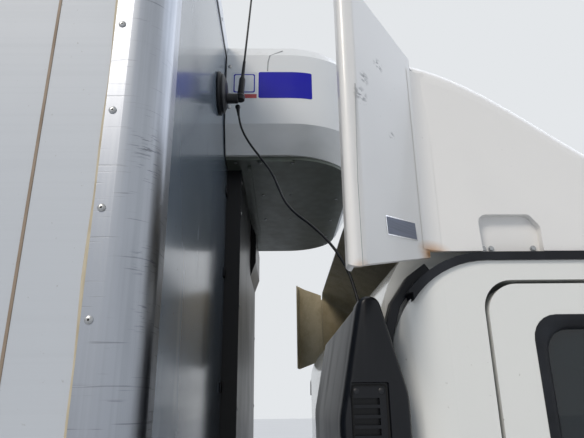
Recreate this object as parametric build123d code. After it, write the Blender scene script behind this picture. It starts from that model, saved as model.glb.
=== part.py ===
from build123d import *
from math import cos, pi, radians, sin, tan
import os

# Refrigerated truck: a light cab-over with an insulated box and a nose mounted cooling unit.
# Millimetres. +X is forward, +Y is the truck's left, +Z is up.
# The origin is on the road, under the middle of the truck's length and width.

# Whole truck
LENGTH = 7000
FRONT = LENGTH / 2
REAR = -LENGTH / 2
CAB_FRONT = FRONT - 30
CAB_LENGTH = 1725
CAB_REAR = CAB_FRONT - CAB_LENGTH
CAB_GAP = 285
BOX_FRONT = CAB_REAR - CAB_GAP
SEAT = 0.3
RUN = 5.5
PIN_PLAY = 0.5

# Running gear
FRONT_OVERHANG = 1110
WHEELBASE = 3735
AXLE_FRONT = FRONT - FRONT_OVERHANG
AXLE_REAR = AXLE_FRONT - WHEELBASE
TYRE_R = 402.5
TYRE_W = 215
BEAD_R = 205
TWIN_PITCH = 240
FRONT_TRACK = 1650
REAR_TRACK = 1495
KINGPIN_Y = FRONT_TRACK / 2 - 145
KINGPIN_R = 15
SPINDLE_R = 28
DRUM_R = 165
STEER_ARM = 170
TRACK_ROD_Z = 320
TRACK_ROD_R = 14

# Chassis frame
RAIL_OUT = 400
RAIL_FLANGE = 70
RAIL_T = 7
RAIL_H = 216
RAIL_TOP = 776
RAIL_BOTTOM = RAIL_TOP - RAIL_H
RAIL_REAR = REAR + 170
RAIL_FRONT = FRONT - 250
TILT_X = FRONT - 60
TILT_Z = 680
TILT_PIN_R = 15
TILT_BOSS_R = 24

# Engine
ENGINE_REAR = CAB_REAR - 265
BELL_X = CAB_REAR + 125
ENGINE_FRONT = CAB_REAR + 935
ENGINE_SHAFT_Z = 590

# Insulated box
BOX_W = 2300
BOX_HALF = BOX_W / 2
BOX_TOP = 2925
WALL = 80
PROUD = 3
SKIN_HALF = BOX_HALF - PROUD
FLOOR_T = 100
FLOOR_TOP = 1000
FLOOR_BOTTOM = FLOOR_TOP - FLOOR_T
BEARER = 40
DECK = 8
POST = 67
POST_FRONT = 72
POST_ROUND = 46
PORTAL_FACE = REAR + 45
PORTAL_DEPTH = 80
PORTAL_POST = 55
HINGE_OUT = 25
HINGE_BACK = 27
HINGE_PIN_R = 8
LOCK_BAR_R = 11
SILL_BOTTOM = 862
ROOF_UNDER = BOX_TOP - PROUD - WALL
RAIL_DEEP = 67
HEADER_LOW = 2850
HINGE_Z = [1180, 1640, 2150, 2640]
LOCK_BAR_Y = 170

# Cab
CAB_HALF = 1000
CAB_SKIN = 45
CAB_SILL = 940
CAB_FLOOR = 1000
CAB_FLOOR_T = 40
TUNNEL_TOP = 1150
CAB_BELT = 1395
CAB_GUTTER = 2156
ROOF_TOP = 2262
ROOF_HALF = CAB_HALF - 45
ROOF_CORNER = 134
CROWN_CORNER = 190
TUNNEL_HALF = 345
SEAT_X = CAB_REAR + 205
SEAT_Y = CAB_HALF - 350
PANEL_BOTTOM = 735
BUMPER_TOP = 690
BUMPER_LOW = 430
DOOR_REAR = CAB_REAR + 137
DOOR_FRONT = FRONT - 440
DOOR_BOTTOM = 985
DOOR_TOP = 2124
GLASS_T = 6
NOSE_X = CAB_FRONT - 200
GRILLE_LOW = 1050
GRILLE_HIGH = 1290
LAMP_LOW = 830
LAMP_HIGH = 1000
DASH_FRONT = CAB_FRONT - 70
WHEEL_PLACE = Location((DASH_FRONT - 510, CAB_HALF - 355, 1445), (0, -62, 0))
COLUMN_R = 28

# Roof fairing
FOLD_X = CAB_REAR + 70
WING_REAR = CAB_REAR - 60
WING_OUT = CAB_HALF + 110
WING_BOTTOM = 2113
WING_TOP = 2550
FAIRING_T = 7
SEAL_TOP = CAB_GUTTER + 8
FAIRING_BASE = SEAL_TOP + 2
FAIRING_FRONT = CAB_FRONT - 590
SHOULDER_TOP = 2492
CROWN_TOP = 2515
POCKET_TOP = 2221
SEAL_LOW = 2107

# Cooling unit
UNIT_HALF = 500
UNIT_DEPTH = 400
UNIT_TOP = BOX_TOP - 23
LID_DEEP = 40
UNIT_BAND = 2651
UNIT_BOTTOM = 2580
UNIT_INSET = 40
UNIT_ROUND = 230
TRAY_ROUND = 180
GRILLE_BACK = 14
FAN_R = 98
FAN_Y = 205
FAN_Z = 2756
UNIT_MOUTH = 120

# Antenna
ANTENNA_Y = -620
ANTENNA_Z = 2664
FOOT_R = 52
FOOT_T = 12
WHIP_R = 2.5

# Antenna cable: centre line of a round cable from the antenna's foot to the intake's head
CABLE_R = 2.5
CABLE_ROUTE = [
    (1503, -606, 2632), (1508, -617, 2590), (1520, -632, 2550), (1540, -650, 2508), (1565, -672, 2465),
    (1587, -692, 2424), (1600, -716, 2382), (1611, -741, 2343), (1630, -768, 2308), (1656, -800, 2276),
    (1681, -838, 2237), (1698, -874, 2200), (1709, -905, 2165), (1716, -926, 2130), (1721, -943, 2092)]


def flat_face(corners):
    """Face from corners (a, b, radius), each joined to the next by a line and rounded by its radius."""
    edges = []
    starts = []
    ends = []
    count = len(corners)
    for i in range(count):
        a, b, radius = corners[i]
        before = corners[i - 1]
        after = corners[(i + 1) % count]
        here = Vector(a, b, 0)
        back = Vector(before[0], before[1], 0) - here
        ahead = Vector(after[0], after[1], 0) - here
        if radius == 0:
            starts.append(here)
            ends.append((here, None))
            continue
        half = radians(back.get_angle(ahead)) / 2
        reach = radius / tan(half)
        first = here + back.normalized() * reach
        last = here + ahead.normalized() * reach
        middle_way = (back.normalized() + ahead.normalized()).normalized()
        middle = here + middle_way * (radius / sin(half) - radius)
        starts.append(first)
        ends.append((last, middle))
    for i in range(count):
        last, middle = ends[i]
        if middle is not None:
            edges.append(ThreePointArc(starts[i], middle, last))
        following = starts[(i + 1) % count]
        if (following - last).length > 1e-6:
            edges.append(Line(last, following))
    return make_face(Wire(edges))


def sharp(points, radius=0):
    """Corners of one radius from plain (a, b) points."""
    return [(a, b, radius) for a, b in points]


def prism(axis, corners, low, high):
    """Solid between two stations on an axis, its outline drawn in the other two in X, Y, Z order."""
    frames = {
        "x": Plane((low, 0, 0), x_dir=(0, 1, 0), z_dir=(1, 0, 0)),
        "y": Plane((0, low, 0), x_dir=(1, 0, 0), z_dir=(0, -1, 0)),
        "z": Plane((0, 0, low)),
    }
    ways = {"x": (1, 0, 0), "y": (0, 1, 0), "z": (0, 0, 1)}
    return extrude(frames[axis] * flat_face(corners), amount=high - low, dir=ways[axis])


def block(x0, x1, y0, y1, z0, z1):
    """Box between two stations on each axis."""
    return prism("z", [(x0, y0, 0), (x1, y0, 0), (x1, y1, 0), (x0, y1, 0)], z0, z1)


def rod(start, end, radius):
    """Round bar between two points."""
    way = Vector(*end) - Vector(*start)
    standing = (Align.CENTER, Align.CENTER, Align.MIN)
    return Plane(start, z_dir=way) * Cylinder(radius, way.length, align=standing)


def ring(start, end, radius, bore):
    """Round tube between two points."""
    return rod(start, end, radius) - rod(start, end, bore)


def turned(profile, x, y, z):
    """Body turned about a cross axis from (radius, y) points, set at a wheel centre."""
    return Pos(x, y, z) * revolve(flat_face(sharp(profile)), Axis.Y)


def other_side(shape):
    """The same piece on the truck's other side."""
    return mirror(shape, about=Plane.XZ)


def both(shape):
    """A piece and its mirror image, fused where they meet."""
    return shape + other_side(shape)


def group(*pieces):
    """Like pieces that don't touch, in one node."""
    solids = []
    for piece in pieces:
        solids.extend(piece.solids())
    return Compound(children=solids)


# Chassis: rails, cross members, cab hinge and cab rest

def chassis_frame():
    """Ladder frame of two channel rails with the brackets that carry the cab."""
    inner = RAIL_OUT - RAIL_FLANGE
    web = RAIL_OUT - RAIL_T
    rail = prism("x", sharp([
        (RAIL_OUT, RAIL_BOTTOM), (RAIL_OUT, RAIL_TOP), (inner, RAIL_TOP), (inner, RAIL_TOP - RAIL_T),
        (web, RAIL_TOP - RAIL_T), (web, RAIL_BOTTOM + RAIL_T), (inner, RAIL_BOTTOM + RAIL_T),
        (inner, RAIL_BOTTOM)]), RAIL_REAR, RAIL_FRONT)
    bracket = prism("y", [
        (RAIL_FRONT - 120, RAIL_BOTTOM + RAIL_T, 0), (RAIL_FRONT, RAIL_BOTTOM + RAIL_T, 0),
        (TILT_X + TILT_BOSS_R, TILT_Z - TILT_BOSS_R, 20), (TILT_X + TILT_BOSS_R, TILT_Z + TILT_BOSS_R, 20),
        (TILT_X - 60, TILT_Z + TILT_BOSS_R, 0), (RAIL_FRONT, RAIL_TOP - RAIL_T, 0),
        (RAIL_FRONT - 120, RAIL_TOP - RAIL_T, 0)], web - 28, web)
    pin = rod((TILT_X, web - 110, TILT_Z), (TILT_X, web - 28, TILT_Z), TILT_PIN_R)
    rest = block(CAB_REAR + 20, CAB_REAR + 65, inner, RAIL_OUT, RAIL_TOP, CAB_SILL - SEAT)
    frame = both(rail + bracket + pin + rest)
    # Cross members: X of the middle, height of the channel, underside
    members = [
        (RAIL_REAR + 40, 160, 590),
        (AXLE_REAR - 1105, 120, 620),
        (AXLE_REAR + 745, 120, 620),
        (AXLE_REAR + 1845, 120, 620),
        (BOX_FRONT - 110, 100, 650),
        (RAIL_FRONT - 160, 120, 590),
    ]
    for x, height, low in members:
        wide = 32
        channel = prism("y", sharp([
            (x - wide, low), (x + wide, low), (x + wide, low + 6), (x - wide + 6, low + 6),
            (x - wide + 6, low + height - 6), (x + wide, low + height - 6), (x + wide, low + height),
            (x - wide, low + height)]), -web, web)
        frame += channel
    bridge = block(CAB_REAR + 20, CAB_REAR + 65, -inner, inner, CAB_SILL - 45, CAB_SILL - SEAT)
    return frame + bridge


def leaf_spring(x, y, seat_z, half_span, leaves, sag, bottom, hanger_y0, hanger_y1, hanger_top):
    """Leaf pack with its eyes and the two hangers that hold it to the rail."""
    thick = 10
    wide = 70
    radius = (half_span ** 2 + sag ** 2) / (2 * sag)
    top = seat_z + leaves * thick
    pack = None
    for i in range(leaves):
        reach = half_span * (1 - 0.19 * i)
        outer = radius + (i + 1) * thick
        inner = radius + i * thick
        centre = (x, y - wide / 2, top + radius)
        far = (x, y + wide / 2, top + radius)
        leaf = rod(centre, far, outer) - rod(centre, far, inner)
        leaf &= block(x - reach, x + reach, y - wide / 2, y + wide / 2, seat_z - 60, top + sag + 30)
        pack = leaf if pack is None else pack + leaf
    clamp = block(x - 62, x + 62, y - 45, y + 45, bottom, top + 12)
    spring = pack + clamp
    for way in (-1, 1):
        eye = (x + way * half_span, top + sag)
        spring += rod((eye[0], y - wide / 2, eye[1]), (eye[0], y + wide / 2, eye[1]), 24)
        hanger = prism("y", [
            (eye[0] - 22, eye[1] - 26, 10), (eye[0] + 22, eye[1] - 26, 10),
            (eye[0] + 42, hanger_top, 0), (eye[0] - 42, hanger_top, 0)], hanger_y0, hanger_y1)
        spring += hanger
    return spring


def front_axle():
    """Dropped I beam with kingpin eyes, and the two springs that it hangs from."""
    low = TYRE_R - 62
    boss = TYRE_R - 42
    top = TYRE_R + 18
    beam = prism("x", [
        (-KINGPIN_Y, boss, 0), (-KINGPIN_Y + 90, boss, 0), (-KINGPIN_Y + 180, low, 0),
        (KINGPIN_Y - 180, low, 0), (KINGPIN_Y - 90, boss, 0), (KINGPIN_Y, boss, 0),
        (KINGPIN_Y, boss + 84, 0), (KINGPIN_Y - 90, boss + 84, 0), (KINGPIN_Y - 180, top, 0),
        (-KINGPIN_Y + 180, top, 0), (-KINGPIN_Y + 90, boss + 84, 0), (-KINGPIN_Y, boss + 84, 0)],
        AXLE_FRONT - 36, AXLE_FRONT + 36)
    for way in (-1, 1):
        near = AXLE_FRONT + way * 14
        far = AXLE_FRONT + way * 60
        beam -= block(min(near, far), max(near, far), -KINGPIN_Y + 185, KINGPIN_Y - 185, low + 16, top - 16)
    for side in (-1, 1):
        y = side * KINGPIN_Y
        beam += rod((AXLE_FRONT, y, boss), (AXLE_FRONT, y, boss + 84), 37)
        beam -= rod((AXLE_FRONT, y, boss - 5), (AXLE_FRONT, y, boss + 90), KINGPIN_R + PIN_PLAY)
    spring_y = RAIL_OUT - RAIL_FLANGE / 2
    spring = leaf_spring(
        AXLE_FRONT, spring_y, top + 12, 560, 4, 62, top + SEAT, spring_y - 35, spring_y + 35,
        RAIL_BOTTOM - SEAT)
    return group(beam, spring, other_side(spring))


def rear_axle():
    """Banjo axle with its spindles, the two rear springs and the shaft from the gearbox."""
    tube = rod((AXLE_REAR, -560, TYRE_R), (AXLE_REAR, 560, TYRE_R), 55)
    tube += rod((AXLE_REAR, -840, TYRE_R), (AXLE_REAR, 840, TYRE_R), SPINDLE_R)
    tube += rod((AXLE_REAR - 90, 0, TYRE_R), (AXLE_REAR + 120, 0, TYRE_R), 168)
    nose = Plane((AXLE_REAR + 120, 0, TYRE_R), z_dir=(1, 0, 0)) * Cone(
        140, 62, 150, align=(Align.CENTER, Align.CENTER, Align.MIN))
    tube += nose
    nose_x = AXLE_REAR + 270
    for side in (-1, 1):
        plate_y = side * 566
        tube += rod((AXLE_REAR, plate_y - 6, TYRE_R), (AXLE_REAR, plate_y + 6, TYRE_R), 150)
    shaft = rod((nose_x + SEAT, 0, TYRE_R), (ENGINE_REAR - SEAT, 0, ENGINE_SHAFT_Z), 38)
    shaft &= block(nose_x + SEAT, ENGINE_REAR - SEAT, -60, 60, 300, 700)
    shaft += rod((nose_x + SEAT, 0, TYRE_R), (nose_x + 24, 0, TYRE_R), 62)
    spring_y = RAIL_OUT + 42
    top = TYRE_R + 55
    spring = leaf_spring(
        AXLE_REAR, spring_y, top + 8, 640, 5, 62, top + SEAT, RAIL_OUT + SEAT, spring_y + 35,
        RAIL_BOTTOM + 150)
    seat = prism("y", sharp([
        (AXLE_REAR - 40, TYRE_R + 30), (AXLE_REAR + 40, TYRE_R + 30), (AXLE_REAR + 50, top),
        (AXLE_REAR - 50, top)]), spring_y - 40, spring_y + 40)
    tube += both(seat)
    return group(tube, shaft, spring, other_side(spring))


def engine_block():
    """Engine and gearbox as one plain heavy piece."""
    engine = block(BELL_X, ENGINE_FRONT, -290, 290, 480, 1060)
    gearbox = block(ENGINE_REAR, BELL_X, -150, 150, 500, 740)
    return engine + gearbox


def exhaust():
    """Silencer on the frame's left with its pipes."""
    x = AXLE_REAR + 1695
    y = RAIL_OUT + 130
    z = 620
    pipe = 32
    bend = x - 600
    silencer = rod((x, y, z), (x + 600, y, z), 105)
    inlet = rod((x + 600, y, z), (x + 900, y, z), pipe)
    outlet = rod((bend, y, z), (x, y, z), pipe) + Pos(bend, y, z) * Sphere(pipe)
    tail = rod((bend, y, z), (bend - 170, y + 110, z - 60), pipe)
    straps = None
    for strap_x in (x + 100, x + 460):
        strap = block(strap_x, strap_x + 40, RAIL_OUT + SEAT, y, z - 20, z + 20)
        straps = strap if straps is None else straps + strap
    return silencer + inlet + outlet + tail + straps


def fuel_tank():
    """Aluminium tank on the frame's right, with straps and cap."""
    x = BOX_FRONT - 1130
    long = 800
    y0 = -RAIL_OUT - 390
    y1 = -RAIL_OUT - 35
    tank = prism("x", sharp([(y0, 445), (y1, 445), (y1, 785), (y0, 785)], 60), x, x + long)
    cap = rod((x + 120, y0 - 30, 720), (x + 120, y0 + 40, 730), 38)
    straps = None
    for strap_x in (x + 100, x + 660):
        strap = prism("x", sharp([(y0 - 6, 439), (y1 + 6, 439), (y1 + 6, 791), (y0 - 6, 791)], 66),
                      strap_x, strap_x + 45)
        strap += block(strap_x, strap_x + 45, y1, -RAIL_OUT - SEAT, 620, 700)
        straps = strap if straps is None else straps + strap
    return tank + cap + straps


def battery_box():
    """Battery carrier with its ribbed lid, behind the tank on the same side."""
    x = BOX_FRONT - 1720
    long = 470
    y0 = -RAIL_OUT - 330
    y1 = -RAIL_OUT - SEAT
    box = prism("x", sharp([(y0, 470), (y1, 470), (y1, 740), (y0, 740)], 18), x, x + long)
    lid = prism("x", sharp([(y0 - 10, 700), (y0 + 200, 700), (y0 + 200, 765), (y0 - 10, 765)], 14),
                x - 10, x + long + 10)
    for i in range(5):
        rib = x + 45 + i * 85
        lid -= block(rib, rib + 26, y0 - 20, y0 - 4, 712, 752)
    return box + lid


def front_bumper():
    """Steel bumper with returned ends, an air slot, lamp recesses and its stays."""
    half = CAB_HALF - 15
    sheet = 14
    back = FRONT - 200
    shell = prism("z", [
        (back, -half, 0), (FRONT, -half, 150), (FRONT, half, 150), (back, half, 0)], BUMPER_LOW, BUMPER_TOP)
    shell -= prism("z", [
        (back - 5, -half + sheet, 0), (FRONT - sheet, -half + sheet, 140),
        (FRONT - sheet, half - sheet, 140), (back - 5, half - sheet, 0)], BUMPER_LOW + 12, BUMPER_TOP - 12)
    shell -= prism("z", [
        (back - 5, -half + 40, 0), (FRONT - 50, -half + 40, 110), (FRONT - 50, half - 40, 110),
        (back - 5, half - 40, 0)], BUMPER_LOW - 5, BUMPER_TOP + 5)
    slot_low = BUMPER_LOW + 60
    shell -= prism("x", sharp([
        (-330, slot_low), (330, slot_low), (330, slot_low + 100), (-330, slot_low + 100)], 22),
        FRONT - 30, FRONT + 10)
    for i in range(3):
        z = slot_low + 18 + i * 27
        shell += block(FRONT - 14, FRONT - 4, -334, 334, z, z + 10)
    web = RAIL_OUT - RAIL_T
    for side in (-1, 1):
        y = side * (CAB_HALF - 360)
        shell -= rod((FRONT - 30, y, slot_low + 50), (FRONT + 5, y, slot_low + 50), 48)
        shell += rod((FRONT - 30, y, slot_low + 50), (FRONT - 4, y, slot_low + 50), 48)
        notch = (side * (web - 120), side * (web + 15))
        shell -= block(FRONT - 60, FRONT - sheet, min(notch), max(notch), BUMPER_TOP - 20, BUMPER_TOP + 5)
        stay = (side * (web - 28), side * web)
        shell += block(TILT_X + TILT_BOSS_R + SEAT, FRONT - sheet, min(stay), max(stay),
                       TILT_Z - TILT_BOSS_R, TILT_Z - 4)
    return shell


# Wheels

def tyre(x, y):
    """Tyre as a plain turned ring of sidewalls, shoulders and a crowned tread."""
    half = TYRE_W / 2
    z = TYRE_R
    profile = [
        (BEAD_R, -half * 0.72), (BEAD_R + 20, -half * 0.72), (BEAD_R + 95, -half),
        (TYRE_R - 30, -half * 0.93), (TYRE_R - 4, -half * 0.76), (TYRE_R, -half * 0.45),
        (TYRE_R, half * 0.45),
        (TYRE_R - 4, half * 0.76), (TYRE_R - 30, half * 0.93), (BEAD_R + 95, half),
        (BEAD_R + 20, half * 0.72), (BEAD_R, half * 0.72)]
    return turned(profile, x, y, z)


def rim_barrel(y):
    """Rolled steel rim section about a tyre's middle plane, as a (radius, y) outline."""
    half = TYRE_W / 2 * 0.72
    seat = BEAD_R - SEAT
    return [
        (seat, y - half), (seat + 16, y - half - 3), (seat + 16, y - half - 9), (seat - 8, y - half - 9),
        (seat - 14, y - half + 14), (seat - 30, y - 26), (seat - 30, y + 26), (seat - 14, y + half - 14),
        (seat - 8, y + half + 9), (seat + 16, y + half + 9), (seat + 16, y + half + 3), (seat, y + half),
        (seat - 6, y + half - 14), (seat - 22, y + 22), (seat - 22, y - 22), (seat - 6, y - half + 14)]


def holed(wheel, x, y0, y1, count, radius, size):
    """Wheel with its ring of hand holes."""
    for i in range(count):
        turn = 2 * pi * i / count
        px = x + radius * cos(turn)
        pz = TYRE_R + radius * sin(turn)
        wheel -= rod((px, y0, pz), (px, y1, pz), size)
    return wheel


def front_wheel():
    """Left front rim with its hub and brake drum, about the spindle's bore."""
    y = FRONT_TRACK / 2
    flange = y + 24
    wheel = turned(rim_barrel(0), AXLE_FRONT, y, TYRE_R)
    disc = [(BEAD_R - SEAT - 29, -5), (BEAD_R - SEAT - 29, 6), (140, 44), (108, 44), (96, 30), (60, 30),
            (60, 18), (104, 18), (134, 30)]
    wheel += turned(disc, AXLE_FRONT, y, TYRE_R)
    wheel = holed(wheel, AXLE_FRONT, y - 20, y + 80, 8, 152, 15)
    drum = [(SPINDLE_R + PIN_PLAY, -85), (DRUM_R - 10, -85), (DRUM_R - 10, -8), (100, 18), (78, 30),
            (78, 62), (62, 88), (0, 88), (0, 30), (SPINDLE_R + PIN_PLAY, 30)]
    wheel += turned(drum, AXLE_FRONT, y, TYRE_R)
    for i in range(6):
        turn = 2 * pi * (i + 0.5) / 6
        px = AXLE_FRONT + 96 * cos(turn)
        pz = TYRE_R + 96 * sin(turn)
        wheel += rod((px, y + 20, pz), (px, y + 58, pz), 14)
    return wheel


def rear_wheels():
    """Left rear rims as one pair back to back on their hub, about the axle's spindle."""
    y = REAR_TRACK / 2
    half = TWIN_PITCH / 2
    pair = None
    for way in (-1, 1):
        barrel = turned(rim_barrel(way * half), AXLE_REAR, y, TYRE_R)
        disc = [
            (BEAD_R - SEAT - 29, way * (half - 12)), (BEAD_R - SEAT - 29, way * half),
            (140, way * 12), (60, way * 12), (60, 0), (136, 0), (165, way * (half - 40))]
        if way < 0:
            disc.reverse()
        rim = barrel + turned(disc, AXLE_REAR, y, TYRE_R)
        pair = rim if pair is None else pair + rim
    pair = holed(pair, AXLE_REAR, y - 150, y + 150, 8, 152, 15)
    hub = [(SPINDLE_R + PIN_PLAY, -130), (DRUM_R - 12, -130), (DRUM_R - 12, -40), (104, -12),
           (86, 12), (86, 95), (66, 122), (0, 122), (0, 96), (SPINDLE_R + PIN_PLAY, 96)]
    pair += turned(hub, AXLE_REAR, y, TYRE_R)
    for i in range(6):
        turn = 2 * pi * (i + 0.5) / 6
        px = AXLE_REAR + 112 * cos(turn)
        pz = TYRE_R + 112 * sin(turn)
        pair += rod((px, y + 8, pz), (px, y + 44, pz), 14)
    return pair


def knuckle():
    """Left knuckle: yoke round the beam's eye, kingpin, spindle, brake plate and steering arm."""
    boss = TYRE_R - 42
    top = boss + 84
    y = KINGPIN_Y
    pin = rod((AXLE_FRONT, y, boss - 26), (AXLE_FRONT, y, top + 26), KINGPIN_R)
    lugs = None
    for z0, z1 in ((boss - 28, boss - 1), (top + 1, top + 28)):
        lug = rod((AXLE_FRONT, y, z0), (AXLE_FRONT, y, z1), 34)
        lug += block(AXLE_FRONT - 34, AXLE_FRONT + 34, y, y + 45, z0, z1)
        lugs = lug if lugs is None else lugs + lug
    face = FRONT_TRACK / 2 - 85 - RUN
    back = block(AXLE_FRONT - 34, AXLE_FRONT + 34, y + 41, face, boss - 28, top + 28)
    plate = rod((AXLE_FRONT, face - 8, TYRE_R), (AXLE_FRONT, face, TYRE_R), DRUM_R - 6)
    carrier = rod((AXLE_FRONT, y + 50, TYRE_R), (AXLE_FRONT, face, TYRE_R), 50)
    spindle = rod((AXLE_FRONT, face, TYRE_R), (AXLE_FRONT, FRONT_TRACK / 2 + 24, TYRE_R), SPINDLE_R)
    arm_z = TRACK_ROD_Z + TRACK_ROD_R + 8
    arm = block(AXLE_FRONT - STEER_ARM, AXLE_FRONT, y - 16, y + 16, arm_z, boss - 1)
    arm += rod((AXLE_FRONT - STEER_ARM, y, arm_z), (AXLE_FRONT - STEER_ARM, y, boss - 1), 20)
    arm += rod((AXLE_FRONT - STEER_ARM, y, TRACK_ROD_Z - 18), (AXLE_FRONT - STEER_ARM, y, arm_z + 2), 8)
    return pin + lugs + back + plate + carrier + spindle + arm


def track_rod():
    """Rod between the two steering arms, an eye on each arm's pin."""
    x = AXLE_FRONT - STEER_ARM
    y = KINGPIN_Y
    bar = rod((x, -y + 20, TRACK_ROD_Z), (x, y - 20, TRACK_ROD_Z), TRACK_ROD_R)
    for side in (-1, 1):
        bar += rod((x, side * y, TRACK_ROD_Z - 14), (x, side * y, TRACK_ROD_Z + 14), 24)
        bar -= rod((x, side * y, TRACK_ROD_Z - 20), (x, side * y, TRACK_ROD_Z + 20), 8 + PIN_PLAY)
    return bar


# Guards

def rear_mudguards():
    """Rolled guards over the twin tyres on tube stays from the rails."""
    inner_y = REAR_TRACK / 2 - TWIN_PITCH / 2 - TYRE_W / 2 - 18
    outer_y = REAR_TRACK / 2 + TWIN_PITCH / 2 + TYRE_W / 2 + 18
    radius = TYRE_R + 28
    thick = 5
    stay_r = 14
    mid_z = TYRE_R
    centre = (AXLE_REAR, inner_y, mid_z)
    far = (AXLE_REAR, outer_y, mid_z)
    guard = ring(centre, far, radius + thick, radius)
    guard += ring((AXLE_REAR, outer_y - 5, mid_z), far, radius + 1, radius - 14)
    guard -= block(AXLE_REAR - 600, AXLE_REAR + 600, inner_y - 5, outer_y + 5, -100, TYRE_R + 60)
    stay_z = RAIL_BOTTOM + 80
    reach = ((radius + thick + stay_r - 1) ** 2 - (stay_z - mid_z) ** 2) ** 0.5
    for x in (AXLE_REAR - reach, AXLE_REAR + reach):
        guard += rod((x, RAIL_OUT + SEAT, stay_z), (x, outer_y - 60, stay_z), stay_r)
    return group(guard, other_side(guard))


def guard_rails():
    """Side guards on hangers from the box floor, and the bar across the rear."""
    side_y = BOX_HALF - 70
    rails = None
    for z in (470, 640):
        bar = prism("x", sharp([(side_y, z), (side_y + 25, z), (side_y + 25, z + 90), (side_y, z + 90)], 8),
                    AXLE_REAR + 520, BOX_FRONT - 130)
        rails = bar if rails is None else rails + bar
    for x in (AXLE_REAR + 640, BOX_FRONT - 1260, BOX_FRONT - 270):
        rails += block(x, x + 60, side_y - 12, side_y, 470, FLOOR_BOTTOM - BEARER - SEAT)
    bar_x = REAR + 40
    half = BOX_HALF - 90
    under = prism("x", sharp([(-half, 430), (half, 430), (half, 540), (-half, 540)], 12), bar_x, bar_x + 60)
    for side in (-1, 1):
        y = side * (RAIL_OUT - RAIL_FLANGE / 2)
        under += prism("y", sharp([
            (bar_x + 60, 440), (bar_x + 130, 440), (RAIL_REAR + 160, RAIL_BOTTOM - SEAT),
            (RAIL_REAR + 10, RAIL_BOTTOM - SEAT), (bar_x + 60, 535)]), y - 30, y + 30)
    return group(rails, other_side(rails), under)


def tail_lamps():
    """Lamp clusters hung under the rear sill."""
    z1 = SILL_BOTTOM - SEAT
    z0 = z1 - 95
    near = BOX_HALF - 450
    far = BOX_HALF - 80
    lamp = prism("z", sharp([
        (REAR + 60, near), (REAR + 60, far), (REAR + 110, far), (REAR + 110, near)], 12), z0, z1)
    for y in (near + 122, near + 246):
        lamp -= block(REAR + 55, REAR + 64, y - 2, y + 2, z0 - 5, z1 + 5)
    return group(lamp, other_side(lamp))


# Insulated box


def box_floor():
    """Insulated floor with its wear deck between the walls, on cross bearers and two long runners."""
    rear = PORTAL_FACE + PORTAL_DEPTH
    floor = block(rear, BOX_FRONT - PROUD, -SKIN_HALF, SKIN_HALF, FLOOR_BOTTOM, FLOOR_TOP)
    inner = SKIN_HALF - WALL - SEAT
    floor += block(rear + RUN, BOX_FRONT - PROUD - WALL - SEAT, -inner, inner, FLOOR_TOP, FLOOR_TOP + DECK)
    bearers = 9
    first = rear + 120
    last = BOX_FRONT - 120
    for i in range(bearers):
        x = first + (last - first) * i / (bearers - 1)
        floor += block(x - 25, x + 25, -SKIN_HALF + 60, SKIN_HALF - 60, FLOOR_BOTTOM - BEARER, FLOOR_BOTTOM)
    for side in (-1, 1):
        y = side * (RAIL_OUT - RAIL_FLANGE / 2)
        floor += block(rear + 20, BOX_FRONT - 60 - SEAT, y - 32, y + 32, RAIL_TOP + SEAT, FLOOR_BOTTOM)
    return floor


def box_side_walls():
    """Sandwich side walls from floor to roof."""
    rear = PORTAL_FACE + PORTAL_DEPTH
    wall = block(rear, BOX_FRONT - POST, SKIN_HALF - WALL, SKIN_HALF, FLOOR_TOP, ROOF_UNDER)
    return group(wall, other_side(wall))


def box_front_wall():
    """Sandwich bulkhead between the corner posts."""
    half = SKIN_HALF - WALL
    return block(BOX_FRONT - PROUD - WALL, BOX_FRONT - PROUD, -half, half, FLOOR_TOP, ROOF_UNDER)


def box_roof():
    """Sandwich roof, stepped where the edge rails sit."""
    rear = PORTAL_FACE + PORTAL_DEPTH
    low = block(rear, BOX_FRONT - PROUD, -SKIN_HALF, SKIN_HALF, ROOF_UNDER, BOX_TOP - RAIL_DEEP)
    inner = BOX_HALF - RAIL_DEEP
    high = block(rear, BOX_FRONT - RAIL_DEEP, -inner, inner, BOX_TOP - RAIL_DEEP, BOX_TOP - PROUD)
    return low + high


def front_corner_posts():
    """Rounded aluminium extrusions that close the box's two front corners."""
    inner = SKIN_HALF - WALL
    front_edge = BOX_HALF - POST_FRONT
    post = prism("z", [
        (BOX_FRONT - POST, inner, 0), (BOX_FRONT - PROUD, inner, 0), (BOX_FRONT - PROUD, front_edge, 0),
        (BOX_FRONT, front_edge, 0), (BOX_FRONT, BOX_HALF, POST_ROUND), (BOX_FRONT - POST, BOX_HALF, 0)],
        FLOOR_TOP, ROOF_UNDER)
    cap = prism("z", [
        (BOX_FRONT - POST, SKIN_HALF, 0), (BOX_FRONT - PROUD, SKIN_HALF, 0),
        (BOX_FRONT - PROUD, front_edge, 0),
        (BOX_FRONT, front_edge, 0), (BOX_FRONT, BOX_HALF, POST_ROUND), (BOX_FRONT - POST, BOX_HALF, 0)],
        ROOF_UNDER, BOX_TOP - RAIL_DEEP)
    skin = block(BOX_FRONT - WALL, BOX_FRONT - PROUD, inner - 20, SKIN_HALF, ROOF_UNDER, BOX_TOP - RAIL_DEEP)
    post += cap - skin
    return group(post, other_side(post))


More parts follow.
